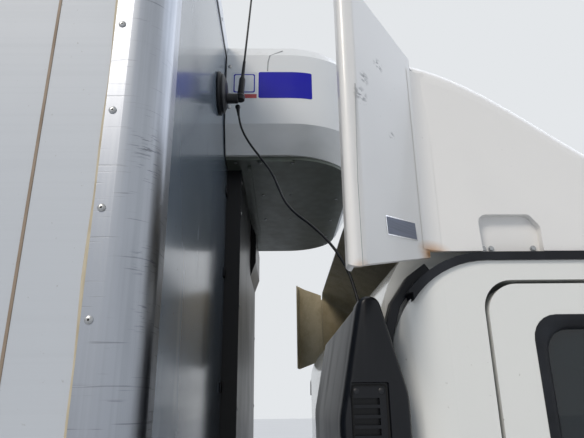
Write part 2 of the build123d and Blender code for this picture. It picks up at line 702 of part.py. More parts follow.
def box_edge_rails():
    """Aluminium rails along the roof's and the floor's edges, with rounded corner caps."""
    rear = PORTAL_FACE + PORTAL_DEPTH
    low = BOX_TOP - RAIL_DEEP
    inner = BOX_HALF - RAIL_DEEP
    side = prism("x", [
        (inner, low, 0), (BOX_HALF, low, 0), (BOX_HALF, BOX_TOP, POST_ROUND), (inner, BOX_TOP, 0)],
        rear, BOX_FRONT)
    front = prism("y", [
        (BOX_FRONT - RAIL_DEEP, low, 0), (BOX_FRONT, low, 0), (BOX_FRONT, BOX_TOP, POST_ROUND / 2),
        (BOX_FRONT - RAIL_DEEP, BOX_TOP, 0)], -inner, inner)
    plan = prism("z", [
        (rear, -BOX_HALF, 0), (BOX_FRONT, -BOX_HALF, POST_ROUND), (BOX_FRONT, BOX_HALF, POST_ROUND),
        (rear, BOX_HALF, 0)], low, BOX_TOP)
    top = (both(side) + front) & plan
    under = FLOOR_BOTTOM - BEARER
    skirt = prism("x", sharp([
        (BOX_HALF - 60, under), (BOX_HALF, under), (BOX_HALF, FLOOR_TOP + 10),
        (SKIN_HALF, FLOOR_TOP + 10), (SKIN_HALF, FLOOR_BOTTOM), (BOX_HALF - 60, FLOOR_BOTTOM)]),
        rear, BOX_FRONT - POST)
    nose = prism("y", sharp([
        (BOX_FRONT - 60, under), (BOX_FRONT, under), (BOX_FRONT, FLOOR_TOP),
        (BOX_FRONT - PROUD, FLOOR_TOP), (BOX_FRONT - PROUD, FLOOR_BOTTOM), (BOX_FRONT - 60, FLOOR_BOTTOM)]),
        -BOX_HALF + POST, BOX_HALF - POST)
    corner = prism("z", [
        (BOX_FRONT - POST, BOX_HALF - POST, 0), (BOX_FRONT, BOX_HALF - POST, 0),
        (BOX_FRONT, BOX_HALF, POST_ROUND), (BOX_FRONT - POST, BOX_HALF, 0)], under, FLOOR_TOP)
    corner -= block(BOX_FRONT - POST - 5, BOX_FRONT - PROUD, BOX_HALF - POST - 5, SKIN_HALF, FLOOR_BOTTOM,
                    FLOOR_TOP + 5)
    foot = skirt + corner
    return group(top, foot + other_side(foot) + nose)


def rear_portal():
    """Frame round the rear doors with its sill, hinge lugs, bar keepers and rubber buffers."""
    inner = BOX_HALF - PORTAL_POST
    rear = PORTAL_FACE + PORTAL_DEPTH
    frame = block(PORTAL_FACE, rear, -BOX_HALF, BOX_HALF, SILL_BOTTOM, BOX_TOP)
    frame -= block(PORTAL_FACE - 5, rear + 5, -inner, inner, FLOOR_TOP, HEADER_LOW)
    for side in (-1, 1):
        lugs = None
        pin_x = PORTAL_FACE - HINGE_BACK
        pin_y = BOX_HALF + HINGE_OUT
        for z in HINGE_Z:
            for way in (-1, 1):
                low = z + way * 46 - 10
                lug = prism("z", [
                    (pin_x - 13, pin_y - 14, 12), (pin_x - 13, pin_y + 14, 12), (pin_x + 16, pin_y + 14, 12),
                    (PORTAL_FACE + 50, BOX_HALF, 0), (PORTAL_FACE, BOX_HALF - 45, 0)], low, low + 20)
                lugs = lug if lugs is None else lugs + lug
            lugs += rod((pin_x, pin_y, z - 58), (pin_x, pin_y, z + 58), HINGE_PIN_R)
        frame += lugs if side > 0 else other_side(lugs)
        for z in (SILL_BOTTOM + 62, HEADER_LOW + 50):
            for y in (LOCK_BAR_Y - 30, LOCK_BAR_Y + 18):
                frame += block(PORTAL_FACE - 22, PORTAL_FACE, min(side * y, side * (y + 12)),
                               max(side * y, side * (y + 12)), z - 14, z + 14)
        near, far = sorted((side * (BOX_HALF - 60), side * (BOX_HALF - 5)))
        buffer = block(REAR, PORTAL_FACE, near, far, SILL_BOTTOM + 10, FLOOR_TOP - 20)
        frame += buffer
    return frame


def rear_door():
    """Left rear door leaf with its moulded step round the edge."""
    outer = BOX_HALF - PORTAL_POST - RUN
    z0 = FLOOR_TOP + RUN
    z1 = HEADER_LOW - RUN
    leaf = prism("x", sharp([(RUN / 2, z0), (outer, z0), (outer, z1), (RUN / 2, z1)], 8),
                 PORTAL_FACE, PORTAL_FACE + PORTAL_DEPTH)
    return leaf


def rear_door_gear():
    """Left door's hinge straps, lock bar with its guides and the handle."""
    pin_y = BOX_HALF + HINGE_OUT
    pin_x = PORTAL_FACE - HINGE_BACK
    face = PORTAL_FACE - SEAT
    gear = None
    for z in HINGE_Z:
        strap = block(pin_x + 9, pin_x + 19, BOX_HALF - 250, pin_y, z - 28, z + 28)
        strap += block(pin_x + 19, face, BOX_HALF - 250, BOX_HALF - PORTAL_POST - RUN - 8, z - 28, z + 28)
        strap += rod((pin_x, pin_y, z - 28), (pin_x, pin_y, z + 28), 14)
        strap += block(pin_x, pin_x + 19, pin_y - 14, pin_y, z - 28, z + 28)
        strap -= rod((pin_x, pin_y, z - 40), (pin_x, pin_y, z + 40), HINGE_PIN_R + PIN_PLAY)
        strap -= block(pin_x - 20, pin_x + 9 - 0.5, pin_y - 60, pin_y - 14, z - 40, z + 40)
        gear = strap if gear is None else gear + strap
    bar_x = PORTAL_FACE - 17
    bar = rod((bar_x, LOCK_BAR_Y, SILL_BOTTOM + 44), (bar_x, LOCK_BAR_Y, HEADER_LOW + 66), LOCK_BAR_R)
    for z in (FLOOR_TOP + 120, 1420, 1900, 2400, HEADER_LOW - 120):
        bar += block(PORTAL_FACE - 31, face, LOCK_BAR_Y - 34, LOCK_BAR_Y + 34, z - 16, z + 16)
    handle = block(PORTAL_FACE - 36, PORTAL_FACE - 26, LOCK_BAR_Y, LOCK_BAR_Y + 360, 1236, 1264)
    handle += block(PORTAL_FACE - 36, face, LOCK_BAR_Y + 300, LOCK_BAR_Y + 336, 1222, 1278)
    return group(gear, bar + handle)


# Cooling unit on the box's nose

def unit_plan(inset):
    """Unit's plan outline at a given inset from its widest line."""
    half = UNIT_HALF - inset
    front = BOX_FRONT + UNIT_DEPTH - inset
    return [
        (BOX_FRONT + SEAT, -half, 0), (front, -half, UNIT_ROUND - inset / 2),
        (front, half, UNIT_ROUND - inset / 2), (BOX_FRONT + SEAT, half, 0)]


def unit_housing():
    """Moulded cover with a chamfered belly, a rounded lid and a deep mouth for the fans."""
    upright = prism("z", unit_plan(0), UNIT_BAND, UNIT_TOP - LID_DEEP)
    lid = loft([
        Plane((0, 0, UNIT_TOP - LID_DEEP)) * flat_face(unit_plan(0)),
        Plane((0, 0, UNIT_TOP)) * flat_face(unit_plan(24))])
    belly = loft([
        Plane((0, 0, UNIT_BOTTOM)) * flat_face(unit_plan(UNIT_INSET)),
        Plane((0, 0, UNIT_BAND)) * flat_face(unit_plan(0))])
    cover = upright + lid + belly
    mouth_half = FAN_Y + FAN_R + 30
    mouth_low = FAN_Z - FAN_R - 4
    mouth_high = UNIT_TOP - LID_DEEP - 1
    front = BOX_FRONT + UNIT_DEPTH
    cover -= prism("x", sharp([
        (-mouth_half, mouth_low), (mouth_half, mouth_low), (mouth_half, mouth_high),
        (-mouth_half, mouth_high)], 30), front - UNIT_MOUTH, front + 10)
    return cover


def unit_grille():
    """Slatted grille that closes the mouth, set back from the cover's nose."""
    mouth_half = FAN_Y + FAN_R + 30 - SEAT
    low = FAN_Z - FAN_R - 4 + SEAT
    high = UNIT_TOP - LID_DEEP - 1 - SEAT
    front = BOX_FRONT + UNIT_DEPTH - GRILLE_BACK
    frame = prism("x", sharp([
        (-mouth_half, low), (mouth_half, low), (mouth_half, high), (-mouth_half, high)], 30),
        front - 20, front)
    hole = prism("x", sharp([
        (-mouth_half + 18, low + 14), (mouth_half - 18, low + 14), (mouth_half - 18, high - 14),
        (-mouth_half + 18, high - 14)], 18), front - 30, front + 5)
    frame -= hole
    slats = 8
    first = low + 14
    pitch = (high - low - 28) / (slats + 1)
    for i in range(slats):
        z = first + pitch * (i + 1)
        frame += block(front - 18, front - 2, -mouth_half + 10, mouth_half - 10, z - 4, z + 4)
    for y in (-mouth_half / 3, mouth_half / 3):
        frame += block(front - 20, front - 14, y - 7, y + 7, low + 5, high - 5)
    return frame


def unit_fan(side):
    """One axial fan of five blades on its hub and stub shaft."""
    x = BOX_FRONT + UNIT_DEPTH - UNIT_MOUTH
    y = side * FAN_Y
    hub = rod((x + 14, y, FAN_Z), (x + 62, y, FAN_Z), 38)
    fan = hub
    for i in range(5):
        turn = 360 / 5 * i
        blade = Box(4, 56, FAN_R - 34)
        blade = Rot(0, 0, 32) * blade
        blade = Pos(0, 0, 30 + (FAN_R - 34) / 2) * blade
        fan += Pos(x + 38, y, FAN_Z) * Rot(turn, 0, 0) * blade
    fan -= rod((x - 1, y, FAN_Z), (x + 50, y, FAN_Z), 10 + PIN_PLAY)
    return fan


def unit_base():
    """Dark tray under the unit with its rib, access cover and the two fan shafts."""
    plan = [
        (BOX_FRONT + SEAT, -UNIT_HALF + 50, 0), (BOX_FRONT + UNIT_DEPTH - 50, -UNIT_HALF + 50, TRAY_ROUND),
        (BOX_FRONT + UNIT_DEPTH - 50, UNIT_HALF - 50, TRAY_ROUND), (BOX_FRONT + SEAT, UNIT_HALF - 50, 0)]
    tray = prism("z", plan, UNIT_BOTTOM - 9, UNIT_BOTTOM - SEAT)
    tray += block(BOX_FRONT + 55, BOX_FRONT + 65, -410, 200, UNIT_BOTTOM - 18, UNIT_BOTTOM - 9)
    cover = prism("z", sharp([
        (BOX_FRONT + 83, -450), (BOX_FRONT + 183, -450), (BOX_FRONT + 183, 30), (BOX_FRONT + 83, 30)], 14),
        UNIT_BOTTOM - 14, UNIT_BOTTOM - 9)
    return tray + cover


def unit_motors():
    """Stub shafts that carry the fans on the mouth's back wall."""
    x = BOX_FRONT + UNIT_DEPTH - UNIT_MOUTH
    shaft = rod((x + SEAT, FAN_Y, FAN_Z), (x + 8, FAN_Y, FAN_Z), 30)
    shaft += rod((x + SEAT, FAN_Y, FAN_Z), (x + 46, FAN_Y, FAN_Z), 10)
    return group(shaft, other_side(shaft))


def wall_guard():
    """Long black cover over the pipes from the unit down the bulkhead."""
    face = BOX_FRONT - PROUD + SEAT
    low = 1660
    high = UNIT_BOTTOM - 9 - SEAT
    cover = block(face, BOX_FRONT + 37, -383, 417, low, high)
    bulge = prism("y", [
        (BOX_FRONT + 30, high - 190, 0), (BOX_FRONT + 37, high - 190, 0), (BOX_FRONT + 55, high - 140, 0),
        (BOX_FRONT + 55, high - 40, 0), (BOX_FRONT + 37, high, 0), (BOX_FRONT + 30, high, 0)], 90, 400)
    return cover + bulge


def antenna():
    """Round wall foot with its neck, knuckle and raked whip."""
    y = ANTENNA_Y
    z = ANTENNA_Z
    face = BOX_FRONT - PROUD + SEAT
    foot = rod((face, y, z), (face + FOOT_T, y, z), FOOT_R)
    dome = Plane((face + FOOT_T, y, z), z_dir=(1, 0, 0)) * Cone(
        FOOT_R, FOOT_R / 2, 7, align=(Align.CENTER, Align.CENTER, Align.MIN))
    neck = rod((face + FOOT_T, y, z - 12), (BOX_FRONT + 44, y, z - 12), 12)
    knuckle = (BOX_FRONT + 49, y, z - 18)
    collar = (BOX_FRONT + 54, y, z + 42)
    tip = (BOX_FRONT + 100, y, z + 640)
    stem = rod(knuckle, collar, 8) + Pos(*knuckle) * Sphere(11)
    whip = rod((BOX_FRONT + 53.7, y, z + 38), tip, WHIP_R)
    return foot + dome + neck + stem + whip + Pos(*tip) * Sphere(4)


def antenna_cable(head):
    """Thin lead that hangs from the antenna's foot across the gap to the intake's head."""
    points = [Vector(*point) for point in CABLE_ROUTE]
    radii = []
    for i in range(1, len(points) - 1):
        before = points[i] - points[i - 1]
        after = points[i + 1] - points[i]
        turn = radians(before.get_angle(after))
        shorter = min(before.length, after.length)
        radii.append(0.45 * shorter / tan(turn / 2))
    path = FilletPolyline(*points, radius=radii)
    start = Plane(points[0], z_dir=points[1] - points[0])
    tube = sweep(start * Circle(CABLE_R), path=path)
    length = path.length
    ratio = tube.volume / (pi * CABLE_R ** 2 * length)
    print("cable: length", round(length), "volume ratio", round(ratio, 4))
    print("cable radii:", [round(radius) for radius in radii])
    return tube - head


# Cab

def cab_core(inset):
    """Side outline of the cab's body from sill to roof, pulled in by a wall thickness."""
    rake = 0.446
    top_x = CAB_FRONT - 45 - rake * (ROOF_TOP - CAB_BELT)
    low = CAB_SILL if inset == 0 else CAB_SILL - 400
    return [
        (CAB_REAR + inset, low, 0), (CAB_REAR + inset, ROOF_TOP - 30 - inset, CROWN_CORNER - inset),
        (CAB_REAR + 600, ROOF_TOP - inset, 900), (top_x - inset * 0.6, ROOF_TOP - 26 - inset, 110 - inset),
        (CAB_FRONT - 40 - inset, CAB_BELT, 160), (CAB_FRONT - inset, CAB_BELT - 110, 60),
        (CAB_FRONT - inset, low, 0)]


def cab_side(inset):
    """Side outline of the cab's flanks, which end under the gutter."""
    rake = 0.446
    gutter_x = CAB_FRONT - 45 - rake * (CAB_GUTTER - CAB_BELT) - inset
    return [
        (CAB_REAR + 14 + inset, CAB_SILL, 0), (CAB_REAR + 14 + inset, CAB_GUTTER, ROOF_CORNER),
        (gutter_x, CAB_GUTTER, 30), (CAB_FRONT - 40 - inset, CAB_BELT, 160),
        (CAB_FRONT - inset, CAB_BELT - 110, 60), (CAB_FRONT - inset, CAB_SILL, 0)]


def cab_plan(inset):
    """Plan outline of the cab with rounded corners."""
    half = CAB_HALF - inset
    return [
        (CAB_REAR + inset, -half, 85 - inset / 2), (CAB_FRONT - inset, -half, 210 - inset),
        (CAB_FRONT - inset, half, 210 - inset), (CAB_REAR + inset, half, 85 - inset / 2)]


def cab_solid(inset):
    """Whole cab body at a given depth below its outer face."""
    half = ROOF_HALF - inset
    arch = [
        (-half, 500, 0), (-half, CAB_GUTTER + 14 - inset, 40), (-half + 95, ROOF_TOP + 10 - inset, 60),
        (half - 95, ROOF_TOP + 10 - inset, 60), (half, CAB_GUTTER + 14 - inset, 40), (half, 500, 0)]
    if inset > 20:
        half = CAB_HALF - inset
        arch = [
            (-half, 500, 0), (-half, CAB_GUTTER - 70, 40), (-half + 125, ROOF_TOP + 5 - inset, 60),
            (half - 125, ROOF_TOP + 5 - inset, 60), (half, CAB_GUTTER - 70, 40), (half, 500, 0)]
    core = prism("y", cab_core(inset), -half, half) & prism("x", arch, CAB_REAR - 50, CAB_FRONT + 50)
    if inset <= 20:
        core += prism("y", cab_side(inset), -CAB_HALF + inset, CAB_HALF - inset)
    return core & prism("z", cab_plan(inset), 500, ROOF_TOP + 50)


def door_outline(gap):
    """Side outline of the door opening, pulled in by a gap."""
    rear = DOOR_REAR + gap
    front = DOOR_FRONT - gap
    top = DOOR_TOP - gap
    low = DOOR_BOTTOM + gap
    lean = 0.34
    return [
        (rear, low, 40), (front, low, 30), (front, CAB_BELT + 30, 60),
        (front - lean * (top - CAB_BELT - 30), top, 45), (rear, top, 42)]


def window_outline(gap):
    """Side outline of the door's glass, pulled in by a gap."""
    rear = DOOR_REAR + 63 + gap
    top = DOOR_TOP - 49 - gap
    low = CAB_BELT + 50 + gap
    front = DOOR_FRONT - 95 - gap
    lean = 0.34
    return [
        (rear, low, 40), (front, low, 40), (front - 4, low + 60, 40),
        (front - 4 - lean * (top - low - 60), top, 34), (rear, top, 34)]


def screen_outline(gap):
    """Front outline of the windscreen, pulled in by a gap."""
    half_low = CAB_HALF - 95 - gap
    half_high = CAB_HALF - 200 - gap
    low = CAB_BELT + 62 + gap
    high = 2130 - gap
    return [(-half_low, low, 60), (half_low, low, 60), (half_high, high, 70), (-half_high, high, 70)]


def rear_light_outline(gap):
    """Rear outline of the back window, pulled in by a gap."""
    half = CAB_HALF - 440 - gap
    low = CAB_BELT + 85 + gap
    high = CAB_BELT + 555 - gap
    return sharp([(-half, low), (half, low), (half, high), (-half, high)], 60 - gap)


def lamp_prism(gap):
    """Headlamp's front outline, pulled in by a gap, as a solid that crosses the cab's nose."""
    near = CAB_HALF - 400 + gap
    far = CAB_HALF + 10
    return prism("x", [
        (near, LAMP_LOW + gap, 30), (far, LAMP_LOW + gap, 0), (far, LAMP_HIGH + 40 - gap, 0),
        (near + 50, LAMP_HIGH - gap, 40)], CAB_FRONT - 190 + gap, CAB_FRONT + 20)


def cab_shell(outer, inner):
    """Roof, back, pillars, cowl and sills, open at doors, screen, back window and nose."""
    shell = outer - inner
    half = CAB_HALF + 50
    opening = prism("y", door_outline(0), CAB_HALF - 200, half)
    shell -= both(opening)
    shell -= prism("x", screen_outline(0), CAB_FRONT - 560, CAB_FRONT + 50)
    shell -= prism("x", rear_light_outline(0), CAB_REAR - 20, CAB_REAR + 100)
    nose = block(NOSE_X, CAB_FRONT + 50, -half, half, 500, CAB_BELT - 12)
    return shell - nose


def front_panel():
    """Nose panel below the screen with its grille slots and lamp openings."""
    outer = prism("z", cab_plan(0), PANEL_BOTTOM, CAB_BELT - 12 - SEAT) & prism(
        "y", [(NOSE_X + SEAT, 700, 0), (CAB_FRONT, 700, 0), (CAB_FRONT, CAB_BELT - 110, 60),
              (CAB_FRONT - 42, CAB_BELT, 0), (NOSE_X + SEAT, CAB_BELT, 0)], -CAB_HALF, CAB_HALF)
    inner = prism("z", cab_plan(CAB_SKIN), PANEL_BOTTOM - 10, CAB_BELT - 12 + 10)
    panel = outer - inner
    panel -= both(lamp_prism(0))
    rows = 5
    pitch = (GRILLE_HIGH - GRILLE_LOW) / rows
    for i in range(rows):
        z = GRILLE_LOW + i * pitch
        half = CAB_HALF - 440 - i * 14
        panel -= prism("x", sharp([(-half, z), (half, z), (half, z + 30), (-half, z + 30)], 12),
                       CAB_FRONT - 28, CAB_FRONT + 10)
    half = CAB_HALF - 500
    low = LAMP_LOW
    panel -= prism("x", sharp([(-half, low), (half, low), (half, low + 130), (-half, low + 130)], 30),
                   CAB_FRONT - 22, CAB_FRONT + 10)
    for i in range(4):
        z = low + 16 + i * 30
        panel += block(CAB_FRONT - 23, CAB_FRONT - 8, -half - 1, half + 1, z, z + 14)
    return panel


def headlamps():
    """Wrap-round lamps that fill the nose's openings."""
    outer = prism("z", cab_plan(3), 700, 1200)
    inner = prism("z", cab_plan(CAB_SKIN), 690, 1210)
    lamp = (outer - inner) & lamp_prism(1.5)
    return group(lamp, other_side(lamp))


def cab_floor():
    """Floor pan with its tunnel over the engine, the nose's cross member and the hinge arms."""
    inset = CAB_SKIN + SEAT
    top = CAB_FLOOR + CAB_FLOOR_T
    plan = prism("z", cab_plan(inset), CAB_FLOOR, top) & prism(
        "y", cab_core(inset), -CAB_HALF, CAB_HALF)
    wall = 22
    half = TUNNEL_HALF - wall
    nose = ENGINE_FRONT + 80
    tunnel = block(CAB_REAR + inset, nose, -TUNNEL_HALF, TUNNEL_HALF, CAB_FLOOR, TUNNEL_TOP)
    hollow = block(CAB_REAR + inset - 5, nose - wall, -half, half, CAB_FLOOR - 5, TUNNEL_TOP - wall)
    floor = plan + tunnel - hollow
    web = RAIL_OUT - RAIL_T
    boss = TILT_BOSS_R - 2
    arm = prism("y", [
        (TILT_X - boss - 30, TILT_Z - boss, 18), (TILT_X + boss, TILT_Z - boss, 18),
        (TILT_X + boss, TILT_Z + boss, 18), (TILT_X - 35, TILT_Z + boss + 3, 0), (TILT_X - 35, CAB_FLOOR, 0),
        (TILT_X - 200, CAB_FLOOR, 0)], web - 100, web - 28 - RUN)
    arm -= rod((TILT_X, 0, TILT_Z), (TILT_X, CAB_HALF, TILT_Z), TILT_PIN_R + PIN_PLAY)
    return floor + both(arm)


def cab_door(outer, inner, side):
    """Door skin and frame as one leaf, with its window cut out and a mirror sill step."""
    leaf = (outer - inner) & prism("y", door_outline(RUN), CAB_HALF - 200, CAB_HALF + 20)
    leaf -= prism("y", window_outline(0), CAB_HALF - 200, CAB_HALF + 20)
    handle = block(DOOR_REAR + 70, DOOR_REAR + 250, CAB_HALF - 8, CAB_HALF + 10, 1290, 1325)
    grip = prism("z", [
        (DOOR_REAR + 80, CAB_HALF - 12, 0), (DOOR_REAR + 240, CAB_HALF - 12, 0),
        (DOOR_REAR + 230, CAB_HALF + 2, 0), (DOOR_REAR + 90, CAB_HALF + 2, 0)], 1280, 1335)
    leaf = leaf - grip + (handle & block(0, FRONT, 0, CAB_HALF + 10, 1295, 1320))
    return leaf if side > 0 else other_side(leaf)


def door_glass(side):
    """Drop glass in the door's opening."""
    half = CAB_HALF - 14
    glass = prism("y", window_outline(SEAT), half - GLASS_T, half)
    return glass if side > 0 else other_side(glass)


def cab_glazing():
    """Bent windscreen and flat back window."""
    front = cab_solid(8) - cab_solid(8 + GLASS_T)
    screen = front & prism("x", screen_outline(SEAT), CAB_FRONT - 560, CAB_FRONT + 50)
    back = prism("x", rear_light_outline(SEAT), CAB_REAR + 12, CAB_REAR + 12 + GLASS_T)
    return group(screen, back)


def arch_line(grow):
    """Wheel arch's upper line in side view, from its rear foot to its front foot, grown by a thickness."""
    half = 505 + grow
    crown = 885 + grow
    rise = 700 + grow / 3
    return [
        (AXLE_FRONT - half, rise, 0), (AXLE_FRONT - half + 70, crown, 120),
        (AXLE_FRONT + half - 70, crown, 120), (AXLE_FRONT + half, rise, 0)]


def cab_steps():
    """Entry steps and wheel arches under the doors, with the liners over the front tyres."""
    outer = CAB_HALF - 6
    inner = outer - 70
    rear = CAB_REAR + 45
    front = NOSE_X - 6
    top = CAB_SILL - SEAT
    arch_half = 505
    rear_foot = 640
    front_foot = 520
    side = prism("y", [(rear, rear_foot, 20), (AXLE_FRONT - arch_half, rear_foot, 0)] + arch_line(0) + [
        (AXLE_FRONT + arch_half, 470, 0), (front, 470, 40), (front, top, 0), (rear, top, 0)], inner, outer)
    liner = prism("y", [(AXLE_FRONT - arch_half - 6, rear_foot, 0), (AXLE_FRONT - arch_half, rear_foot, 0)]
                  + arch_line(0) + [
        (AXLE_FRONT + arch_half, front_foot, 0), (AXLE_FRONT + arch_half + 6, front_foot, 0)]
                  + arch_line(6)[::-1], CAB_HALF - 440, inner + 1)
    step_x0 = AXLE_FRONT + arch_half + 12
    treads = None
    for z0, z1, deep in ((500, 660, 190), (700, 900, 130)):
        pocket = block(step_x0 + 20, front - 40, outer - deep, outer + 20, z0 + 26, z1)
        tread = block(step_x0, front - 20, outer - deep - 20, inner + 2, z0, z0 + 26)
        back = block(step_x0, front - 20, outer - deep - 20, outer - deep, z0, z1)
        side -= pocket
        treads = tread + back if treads is None else treads + tread + back
    step = side + liner + treads
    return group(step, other_side(step))


def intake():
    """Black air intake on the frame behind the cab's right corner, louvred on its outer face.

    Its pointed head runs inwards behind the cab as a shallow plenum with a sloped underside.
    """
    head_low = 1240
    x0 = CAB_REAR - 58
    x1 = CAB_REAR + 26
    back = CAB_REAR - 6
    y_out = -CAB_HALF - 14
    y_in = -CAB_HALF + 570
    duct_in = -CAB_HALF + 105
    head = prism("y", [
        (x0 + 4, head_low, 20), (x1 - 6, head_low, 0), (x1 - 6, 1975, 90), (x0 + 46, 2098, 12),
        (x0 + 24, 2100, 12), (x0 - 6, 1945, 90)], y_out, y_in)
    head -= cab_solid(-RUN - 0.5)
    head -= block(back, x1 + 5, -CAB_HALF, y_in + 5, head_low - 5, 2120)
    head -= prism("x", sharp([
        (duct_in, head_low - 5), (y_in + 5, head_low - 5), (y_in + 5, head_low + 330)]), x0 - 20, x1 + 5)
    slots = 26
    for i in range(slots):
        z = 1967 - 12 * i
        head -= block(x0 + 8, x0 + 41, y_out - 2, y_out + 9, z - 4, z + 4)
    duct = block(x0 + 8, back, y_out + 30, duct_in, 800, head_low + 1)
    arm = block(x0 + 8, x0 + 48, duct_in - 1, -RAIL_OUT - SEAT, 700, 740)
    drop = block(x0 + 8, x0 + 48, y_out + 30, duct_in, 700, 801)
    return head + duct + drop + arm


def mirrors():
    """Mirror heads on tube arms from the front pillars."""
    arm_x = DOOR_FRONT + 90
    top = 1960
    low = 1380
    reach = CAB_HALF + 165
    arm = rod((arm_x, CAB_HALF - 2, low), (arm_x + 30, reach, low + 90), 11)
    arm += rod((arm_x + 30, reach, low + 90), (arm_x + 30, reach, top - 60), 11)
    arm += rod((arm_x - 70, ROOF_HALF + 10, top - 20), (arm_x + 30, reach, top - 60), 11)
    arm += Pos(arm_x + 30, reach, low + 90) * Sphere(11) + Pos(arm_x + 30, reach, top - 60) * Sphere(11)
    head = prism("z", [
        (arm_x - 20, reach - 75, 30), (arm_x + 70, reach - 60, 40), (arm_x + 70, reach + 60, 40),
        (arm_x - 20, reach + 75, 30)], 1520, 1850)
    head = fillet(head.edges().group_by(Axis.Z)[-1], 20)
    return head, arm


def mirror_pair(outer):
    """Both mirrors, each cut back to the cab's face."""
    head, arm = mirrors()
    one = (head + arm) - outer
    one = one.solids().sort_by(SortBy.VOLUME)[-1]
    return group(one, other_side(one))


def seats():
    """Driver's, middle and passenger's seats, each a cushion with a back and a head rest."""
    seat_set = []
    x = SEAT_X
    floor = CAB_FLOOR + CAB_FLOOR_T + SEAT
    tunnel = TUNNEL_TOP + SEAT
    top = 1330
    # Middle of the seat across the cab, width, underside, head rest
    places = [(-SEAT_Y, 480, floor, True), (0, 380, tunnel, False), (SEAT_Y, 480, floor, True)]
    for y, width, low, rest in places:
        base = prism("y", sharp([
            (x + 40, low), (x + 470, low), (x + 490, top - 110), (x + 25, top - 110)], 12),
            y - width / 2 + 60, y + width / 2 - 60)
        cushion = prism("y", [
            (x, top - 115, 30), (x + 530, top - 115, 40), (x + 550, top + 10, 50), (x + 10, top - 20, 30)],
            y - width / 2, y + width / 2)
        back = prism("y", [
            (x + 40, top - 40, 40), (x + 160, top - 30, 20), (x + 60, top + 550, 50),
            (x - 45, top + 550, 50)], y - width / 2, y + width / 2)
        piece = base + cushion + back
        if rest:
            piece += prism("y", [
                (x - 15, top + 570, 25), (x + 70, top + 570, 25), (x + 45, top + 710, 30),
                (x - 35, top + 710, 30)], y - 130, y + 130)
            for post in (-60, 60):
                piece += rod((x + 12, y + post, top + 540), (x + 10, y + post, top + 580), 8)
        seat_set.append(piece)
    return group(*seat_set)


def dashboard(inner):
    """Dash with its cowl over the dials, cut to the cab's inside."""
    x = DASH_FRONT
    half = CAB_HALF - CAB_SKIN - SEAT
    dash = prism("y", [
        (x, 1120, 0), (x, 1385, 0), (x - 220, 1400, 40), (x - 340, 1290, 60), (x - 310, 1130, 30),
        (x - 200, 1080, 30)], -half, half)
    dash += prism("y", [
        (x - 160, 1380, 0), (x - 170, 1440, 30), (x - 290, 1410, 20), (x - 320, 1330, 0)],
        CAB_HALF - 570, CAB_HALF - 140)
    dash = (dash & inner) - steering_column(COLUMN_R + SEAT)
    tray_near = -CAB_HALF + 570
    dash -= block(x - 400, x, tray_near, tray_near + 400, 1190, 1240)
    return dash + block(x - 310, x - 10, tray_near, tray_near + 400, 1185, 1195)


def steering_column(radius):
    """Column from the wheel's hub into the dash."""
    return WHEEL_PLACE * (Pos(0, 0, -150) * Cylinder(radius, 300))


def steering_wheel():
    """Steering wheel with three spokes on its column."""
    wheel = Torus(205, 14)
    wheel += Cylinder(52, 46)
    for turn in (90, 210, 330):
        wheel += Rot(0, 0, turn) * Pos(110, 0, -4) * Box(200, 26, 12)
    return WHEEL_PLACE * wheel + steering_column(COLUMN_R)


# Roof fairing

def fairing_section(x, half, lean, shoulder, crown, thick):
    """Cross section of the fairing: sides that lean in, round shoulders and a slightly crowned top."""
    base = FAIRING_BASE - (60 if thick else 0)
    bend = min(45, shoulder - FAIRING_BASE - 2)
    return Plane((x, 0, 0), x_dir=(0, 1, 0), z_dir=(1, 0, 0)) * flat_face([
        (-half + thick, base, 0), (-half + lean + thick, shoulder - thick, bend),
        (0, crown - thick, 900), (half - lean - thick, shoulder - thick, bend), (half - thick, base, 0)])


def fairing_body(thick):
    """Fairing's form at a given depth, from rear rim to front lip. Its hollow runs out past the rim."""
    past = 10 if thick else 0
    # X, half width, lean of the sides, shoulder height, crown height
    stations = [
        (FOLD_X - past, CAB_HALF, 0, SHOULDER_TOP + 0.5 * past, CROWN_TOP + 0.3 * past),
        (FOLD_X + 150, CAB_HALF - 1, 6, 2419, 2460),
        (FOLD_X + 300, CAB_HALF - 4, 12, 2314, 2392),
        (FOLD_X + 640, CAB_HALF - 36, 18, 2236, 2322),
        (FAIRING_FRONT, CAB_HALF - 120, 18, 2205, 2275),
    ]
    return loft([fairing_section(*station, thick) for station in stations])


def fairing_shell(roof):
    """Moulded deflector over the cab roof with the bolt pockets at its sides."""
    shell = fairing_body(0) - fairing_body(FAIRING_T)
    x = FOLD_X + 76
    low = FAIRING_BASE - 5
    top = POCKET_TOP
    pocket = prism("y", [
        (x, low, 0), (x + 87, low, 0), (x + 88, top - 18, 12), (x + 74, top, 10), (x - 2, top, 13)],
        CAB_HALF - 14, CAB_HALF + 5)
    backing = prism("y", [
        (x - 8, FAIRING_BASE, 0), (x + 96, FAIRING_BASE, 0), (x + 96, top - 15, 12), (x + 78, top + 8, 12),
        (x - 10, top + 8, 14)], CAB_HALF - 20, CAB_HALF - 5)
    shell = shell + (both(backing) & fairing_body(0)) - both(pocket)
    return shell - roof


